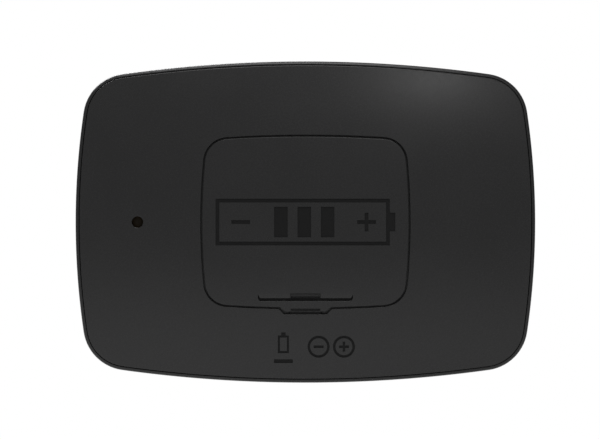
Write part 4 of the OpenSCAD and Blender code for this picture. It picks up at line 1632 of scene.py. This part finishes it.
@dataclass
class DisplaySide:
    """The clear lens and what shows through it: a parking sign, a display with the time, and the solar cell."""

    disc: Disc
    lens_inset: float = 3.15
    lens_depths: tuple[float, float] = (0.8, 2.0)
    lens_r: float = 0.22
    digit: tuple[float, float] = (9.9, 20.5)
    digit_step: float = 13.4
    segment: float = 2.3
    segment_gap: float = 0.22
    colon_r: float = 1.25
    letter_size: tuple[float, float, float] = (15.0, 23.0, 4.4)
    border: tuple[float, float, float] = (2.2, 0.8, 2.2)
    solar_fields: int = 10
    solar_line: float = 0.28
    solar_margin: float = 0.9
    print_t: float = 0.06
    print_back: float = 2.19

    def lens(self) -> Solid:
        """Draws the lens, a plate with a rounded front edge.

        Returns:
            The lens.
        """
        solid = Solid()
        near, deep = self.lens_depths
        last = solid.chain(self.disc.case.loop(self.lens_inset), deep)
        for k in range(5):
            angle = math.pi / 2 * k / 4
            inset = self.lens_inset + self.lens_r * (1 - math.cos(angle))
            here = solid.chain(self.disc.case.loop(inset), near + self.lens_r * (1 - math.sin(angle)))
            solid.strip(last, here)
            last = here
        solid.sheet([self.disc.case.loop(self.lens_inset + self.lens_r)], level(near), 6)
        solid.sheet([self.disc.case.loop(self.lens_inset)], level(deep), 6)
        return solid

    def printed(self, loops: Sequence[Loop]) -> Solid:
        """Draws a thin print, just in front of the panels.

        Args:
            loops: The outlines of what is printed.

        Returns:
            The print.
        """
        solid = Solid()
        near, deep = self.print_back - self.print_t, self.print_back
        for loop in loops:
            solid.wall(loop, near, deep)
        solid.sheet(loops, level(near), 4)
        solid.sheet(loops, level(deep), 4)
        return solid

    def letter(self) -> list[Loop]:
        """Draws a letter P on the sign, in a thin border, as seen through the glass.

        Returns:
            Their outlines.
        """
        low, high = (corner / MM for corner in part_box("parking_sign"))
        x, z = (low.x + high.x) / 2, (low.z + high.z) / 2
        margin, line, corner_r = self.border
        half_x, half_z = (high.x - low.x) / 2 - margin, (high.z - low.z) / 2 - margin
        width, height, stem = self.letter_size
        foot, head, left, right = z - height / 2, z + height / 2, x + width / 2, x - width / 2
        waist, bowl_r, eye_r, step = head - 13.5, 6.7, 2.3, 3
        outer = [(left, foot, 0), (left, head, 0), (right, head, bowl_r), (right, waist, bowl_r),
                 (left - stem, waist, 0), (left - stem, foot, 0)]
        eye = [(left - stem, head - stem, 0), (right + stem, head - stem, eye_r),
               (right + stem, waist + stem, eye_r), (left - stem, waist + stem, 0)]
        return [spaced(rounded(outer, steps=10), step), spaced(rounded(eye, steps=8), step),
                rectangle(half_x, half_z, corner_r, x, z),
                rectangle(half_x - line, half_z - line, corner_r - 0.7, x, z)]

    def digits(self, hours: str, minutes: str) -> list[Loop]:
        """The time in seven-segment digits with a colon, as seen through the glass.

        Args:
            hours: Two digits.
            minutes: Two digits.

        Returns:
            The outlines of all segments that show.
        """
        low, high = (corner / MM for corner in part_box("display_polariser"))
        middle, z = (low.x + high.x) / 2, (low.z + high.z) / 2
        lit = {"0": "abcdef", "1": "bc", "2": "abdeg", "3": "abcdg", "4": "bcfg", "5": "acdfg", "6": "acdefg",
               "7": "abc", "8": "abcdefg", "9": "abcdfg"}
        half_w, half_h = self.digit[0] / 2, self.digit[1] / 2
        gap, half_t = self.segment_gap, self.segment / 2
        level_x = half_w - half_t
        places = {"a": (0, half_h - half_t, True), "g": (0, 0, True), "d": (0, half_t - half_h, True),
                  "f": (-level_x, (half_h - half_t) / 2, False), "b": (level_x, (half_h - half_t) / 2, False),
                  "e": (-level_x, (half_t - half_h) / 2, False), "c": (level_x, (half_t - half_h) / 2, False)}
        made = []
        for text, first in ((hours, -2.15), (minutes, 0.15)):
            for i, figure in enumerate(text):
                centre = (first + i + 0.5) * self.digit_step
                for name in lit[figure]:
                    x, up, flat = places[name]
                    reach = (level_x if flat else (half_h - half_t) / 2) - gap
                    bar_shape = [(-reach, 0), (half_t - reach, -half_t), (reach - half_t, -half_t), (reach, 0),
                                 (reach - half_t, half_t), (half_t - reach, half_t)]
                    shape = np.array(bar_shape if flat else [(v, u) for u, v in bar_shape][::-1])
                    made.append((shape + [centre + x, up])[::-1] * [-1, 1] + [middle, z])
        for up in (-1, 1):
            made.append(circle(middle, z + up * self.digit[1] * 0.22, self.colon_r, 20))
        return made

    def stripes(self, palette: Palette) -> bpy.types.Object:
        """The fine lines between the fields of the solar cell.

        Args:
            palette: The materials.

        Returns:
            The lines as one object.
        """
        low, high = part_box("solar_cell")
        width, height = high.x - low.x, high.z - low.z
        growth = Growth("solar_stripes", {
            "Count": self.solar_fields - 1, "Spacing": width / self.solar_fields,
            "Line width": self.solar_line * MM, "Line height": height - 2 * self.solar_margin * MM,
            "Thickness": self.print_t * MM})
        graph = growth.graph
        line = graph.node("GeometryNodeMeshLine", inputs={
            "Count": growth["Count"], "Offset": growth.vector(growth["Spacing"])})
        bar_node = graph.node("GeometryNodeMeshCube", inputs={
            "Size": growth.vector(growth["Line width"], growth["Thickness"], growth["Line height"])})
        many = graph.node("GeometryNodeInstanceOnPoints", inputs={
            "Points": line.outputs[0], "Instance": bar_node.outputs["Mesh"]})
        start = Vector((low.x + width / self.solar_fields, -(self.print_back - self.print_t / 2) * MM,
                        (low.z + high.z) / 2))
        return growth.grown(many.outputs[0], palette["stripe"], Matrix.Translation(start))

    def build(self, palette: Palette) -> dict[str, bpy.types.Object]:
        """Makes the lens and the prints.

        Args:
            palette: The materials.

        Returns:
            The objects by the material slot that each belongs to.
        """
        return {
            "lens_clear": self.lens().made("lens_plate", palette["lens"]),
            "sign_blue": self.printed(self.letter()).made("sign_print", palette["white"]),
            "polariser_film": self.printed(self.digits("10", "30")).made("display_segments", palette["segment"]),
            "solar_dark": self.stripes(palette),
        }

    def dress(self, made: dict[str, bpy.types.Object]) -> None:
        """Puts the pieces in their places."""
        for slot, piece in made.items():
            mount(piece, Body.HOUSING, slot, *(["lens"] if slot == "lens_clear" else []))


@dataclass
class PowerPack:
    """Three cells in the tray, and the conical springs that press them."""

    disc: Disc
    names: tuple[str, ...] = ("battery_top", "battery_middle", "battery_bottom")
    spring_names: tuple[str, ...] = ("spring_top", "spring_middle", "spring_bottom")
    plus_sides: tuple[Side, ...] = (Side.LEFT, Side.RIGHT, Side.LEFT)
    nub: tuple[float, float] = (1.0, 1.9)
    band: float = 11.5
    wire_r: float = 0.3
    spring_tip: float = 2.3
    spring_turns: float = 4.0

    def cell(self, name: str, plus: Side) -> Solid:
        """One cell, turned about its length.

        Args:
            name: Its node.
            plus: The side that its plus nub points to.

        Returns:
            The cell, with slots for its sleeve, its band and its can.
        """
        low, high = (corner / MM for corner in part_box(name))
        radius, length = (high.z - low.z) / 2, high.x - low.x
        nub_len, nub_r = self.nub
        body = length - nub_len
        profile = [
            (0.25, 0, 2), (0.25, radius - 1.3, 2), (0, radius - 1.1, 2), (0, radius - 0.55, 0),
            (0.12, radius - 0.2, 0), (0.4, radius, 0), (body - self.band, radius, 1), (body - 0.5, radius, 1),
            (body - 0.15, radius - 0.18, 1),
            (body, radius - 0.5, 1), (body - 0.1, radius - 0.9, 2), (body - 0.1, nub_r + 0.35, 2),
            (body, nub_r + 0.12, 2), (body + 0.12, nub_r, 2), (length - 0.25, nub_r, 2),
            (length - 0.07, nub_r - 0.08, 2), (length, nub_r - 0.28, 2), (length, 0, 2)]
        start = low.x if plus is Side.RIGHT else high.x
        turn = Matrix.Rotation(math.radians(90 * plus.value), 4, "Y")
        place = Matrix.Translation(((start, (low.y + high.y) / 2, (low.z + high.z) / 2))) @ turn
        solid = Solid()
        solid.turned(profile, place)
        return solid

    def spring(self, name: str, side: Side, palette: Palette) -> bpy.types.Object:
        """One conical spring, wound from its contact plate towards its cell.

        Args:
            name: Its node.
            side: The side of the tray that it stands on.
            palette: The materials.

        Returns:
            The spring's object.
        """
        low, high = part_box(name)
        wire = self.wire_r * MM
        growth = Growth(f"{name}_wire", {
            "Base radius": (high.z - low.z) / 2 - wire, "Tip radius": self.spring_tip * MM,
            "Turns": self.spring_turns, "Height": high.x - low.x - 2 * wire, "Wire radius": wire})
        graph = growth.graph
        spiral = graph.node("GeometryNodeCurveSpiral", inputs={
            "Resolution": 40, "Rotations": growth["Turns"], "Start Radius": growth["Base radius"],
            "End Radius": growth["Tip radius"], "Height": growth["Height"]})
        section = graph.node("GeometryNodeCurvePrimitiveCircle", {"mode": "RADIUS"}, {
            "Resolution": 12, "Radius": growth["Wire radius"]})
        tube = graph.node("GeometryNodeCurveToMesh", inputs={
            "Curve": spiral.outputs[0], "Profile Curve": section.outputs[0], "Fill Caps": True})
        foot = high.x - wire if side is Side.RIGHT else low.x + wire
        turn = Matrix.Rotation(math.radians(-90 * side.value), 4, "Y")
        place = Matrix.Translation((foot, (low.y + high.y) / 2, (low.z + high.z) / 2)) @ turn
        return growth.grown(tube.outputs[0], palette["nickel"], place)

    def build(self, palette: Palette) -> dict[str, bpy.types.Object]:
        """Makes the cells and springs.

        Args:
            palette: The materials.

        Returns:
            The objects by the node that each replaces.
        """
        made = {}
        for name, spring, plus in zip(self.names, self.spring_names, self.plus_sides):
            made[name] = self.cell(name, plus).made(
                f"{name}_cell", palette["cell_black"], palette["cell_copper"], palette["cell_can"])
            foot = Side.RIGHT if plus is Side.LEFT else Side.LEFT
            made[spring] = self.spring(spring, foot, palette)
        return made

    def dress(self, made: dict[str, bpy.types.Object]) -> None:
        """Puts the pieces in their nodes' places."""
        for node, piece in made.items():
            mount(piece, Body.HOUSING, "cell_sleeve" if node in self.names else "contact_nickel", node)


@dataclass
class SetSwitch:
    """The plunger of the set switch, behind the hole in the rear cover."""

    dome: float = 0.35
    dome_steps: int = 6

    def build(self, palette: Palette) -> bpy.types.Object:
        """Makes the plunger.

        Args:
            palette: The materials.

        Returns:
            The plunger's object.
        """
        low, high = (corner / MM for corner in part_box("set_switch_plunger"))
        radius, length = (high.x - low.x) / 2, high.y - low.y
        profile = [(0.0, 0.0, 0), (0.0, radius, 0), (length - self.dome - 0.2, radius, 0)]
        for k in range(1, self.dome_steps + 1):
            angle = math.pi / 2 * k / self.dome_steps
            profile.append((length - self.dome + self.dome * math.sin(angle), radius * math.cos(angle), 0))
        place = Matrix.Translation(((low.x + high.x) / 2, high.y, (low.z + high.z) / 2))
        solid = Solid()
        solid.turned(profile, place @ Matrix.Rotation(math.radians(90), 4, "X"))
        return solid.made("switch_plunger", palette["plunger"])

    def dress(self, made: bpy.types.Object) -> None:
        """Puts the plunger in its node's place."""
        mount(made, Body.SWITCH, "plunger_brown", "set_switch_plunger")


def mount(piece: bpy.types.Object, body: Body, slot: str, *nodes: str) -> None:
    """Fastens a piece to a body.

    Args:
        piece: The piece.
        body: The body that it rides on.
        slot: The record's material slot that its finish belongs to; not used.
        nodes: The nodes that it replaces.
    """
    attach(piece, body.value)
    if nodes:
        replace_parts(piece, *nodes)
    LOG.info("%s: %d faces on %s", piece.name, len(piece.data.polygons), body.value)


@dataclass
class CarriedOver:
    """The nodes whose shape stays as designed and which only get a finish."""

    finishes: dict[str, str] = field(default_factory=lambda: {
        "battery_tray": "cover", "mask_print": "ink", "parking_sign": "blue", "solar_cell": "solar",
        "solar_leads": "copper", "display_polariser": "display", "display_front_glass": "glass",
        "display_rear_glass": "glass", "display_reflector": "reflector", "display_foam": "foam",
        "contact_rubber": "rubber", "adhesive_frame": "film", "circuit_board": "board", "board_screws": "steel",
        "controller_chip": "chip", "controller_legs": "tin", "charge_chip": "chip", "motion_sensor": "chip",
        "clock_crystal": "steel", "storage_capacitor": "sleeve", "chip_capacitors": "ceramic",
        "chip_resistors": "chip", "set_switch_body": "switch", "set_switch_plate": "steel",
        "set_switch_legs": "tin", "plus_contact": "nickel", "minus_contact": "nickel",
        "left_bridge_contact": "nickel", "right_bridge_contact": "nickel", "door_foam": "foam"})

    def dress(self, palette: Palette) -> None:
        """Gives each of them its finish.

        Args:
            palette: The materials.
        """
        for name, finish in self.finishes.items():
            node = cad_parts[name]
            node.data.materials.clear()
            node.data.materials.append(palette[finish])
            for slot in node.material_slots:
                slot.material = palette[finish]
            LOG.info("%s: finished as %s", name, finish)


@dataclass
class Lamp:
    """A soft area light that faces a point near the disc."""

    name: str
    place: tuple[float, float, float]
    target: tuple[float, float, float]
    size: tuple[float, float]
    power: float

    def build(self) -> None:
        """Adds the light."""
        data = bpy.data.lights.new(self.name, "AREA")
        data.shape, data.size, data.size_y = "RECTANGLE", self.size[0] * MM, self.size[1] * MM
        data.energy = self.power
        made = bpy.data.objects.new(self.name, data)
        bpy.context.scene.collection.objects.link(made)
        made.location = Vector(self.place) * MM
        away = (Vector(self.place) - Vector(self.target)).normalized()
        made.rotation_mode = "QUATERNION"
        made.rotation_quaternion = away.to_track_quat("Z", "Y")


@dataclass
class Studio:
    """White surroundings, soft light and the camera."""

    camera_at: tuple[float, float, float] = (-1.33, -1041.7, 0.5)
    lens: float = 250.25
    floor_z: float = -120
    floor_half: float = 1250
    floor_color: tuple[float, float, float] = (0.66, 0.66, 0.66)
    floor_glow: float = 0.9
    surroundings: float = 0.255
    lamps: tuple[Lamp, ...] = (
        Lamp("highlight_box", (158, -700, 314), (32, -18, 35), (60, 50), 0.118),
        Lamp("top_light", (-35, -325, 620), (-35, -20, 35), (380, 600), 2.15),
        Lamp("display_light", (-450, 750, 900), (0, 0, 0), (800, 500), 12.0),
    )

    def world(self) -> None:
        """White where the camera looks past the disc, and dim as a light."""
        world = bpy.data.worlds.new("studio")
        world.use_nodes = True
        world.node_tree.nodes.clear()
        graph = Graph(world.node_tree)
        seen = graph.node("ShaderNodeLightPath").outputs["Is Camera Ray"]
        strength = Value(graph, seen) * (1 - self.surroundings) + self.surroundings
        light = graph.node("ShaderNodeBackground", inputs={"Color": (1, 1, 1, 1), "Strength": strength})
        graph.node("ShaderNodeOutputWorld", inputs={"Surface": light.outputs[0]})
        bpy.context.scene.world = world

    def floor(self) -> None:
        """A plain pale floor well below the disc."""
        half = self.floor_half * MM
        mesh = bpy.data.meshes.new("floor")
        mesh.from_pydata([(-half, -half, 0), (half, -half, 0), (half, half, 0), (-half, half, 0)], [], [(0, 1, 2, 3)])
        made = bpy.data.objects.new("floor", mesh)
        bpy.context.scene.collection.objects.link(made)
        made.location.z = self.floor_z * MM
        material, graph = fresh_material("floor_paint")
        seen = Value(graph, graph.node("ShaderNodeLightPath").outputs["Is Camera Ray"])
        shader = graph.node("ShaderNodeBsdfPrincipled", inputs={
            "Base Color": (*self.floor_color, 1), "Roughness": 0.9, "Specular IOR Level": 0.1,
            "Emission Color": (1, 1, 1, 1), "Emission Strength": seen * self.floor_glow})
        graph.finish(shader.outputs[0])
        mesh.materials.append(material)

    def build(self) -> None:
        """Sets up the surroundings, the lights and the camera."""
        self.world()
        self.floor()
        for lamp in self.lamps:
            lamp.build()
        data = bpy.data.cameras.new("camera")
        data.lens, data.sensor_width = self.lens, 36
        data.clip_start, data.clip_end = 0.01, 20
        made = bpy.data.objects.new("camera", data)
        bpy.context.scene.collection.objects.link(made)
        made.location = Vector(self.camera_at) * MM
        made.rotation_euler = (math.pi / 2, 0, 0)
        scene = bpy.context.scene
        scene.camera = made
        scene.view_settings.view_transform = "Standard"


def main() -> None:
    """Builds the disc round the frame, then the studio."""
    logging.basicConfig(level=logging.INFO, format="%(message)s")
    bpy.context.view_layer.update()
    disc = Disc.from_frame()
    palette = Palette()
    cover, case, door, latch = RearCover(disc), FrontCase(disc), BatteryDoor(disc), Latch(disc)
    display, power, switch = DisplaySide(disc), PowerPack(disc), SetSwitch()
    cover.dress(cover.build(palette))
    case.dress(case.build(palette, cover.snap_x))
    door.dress(door.build(palette))
    latch.dress(latch.build(palette))
    display.dress(display.build(palette))
    power.dress(power.build(palette))
    switch.dress(switch.build(palette))
    CarriedOver().dress(palette)
    Studio().build()


if __name__ == "__main__":
    main()
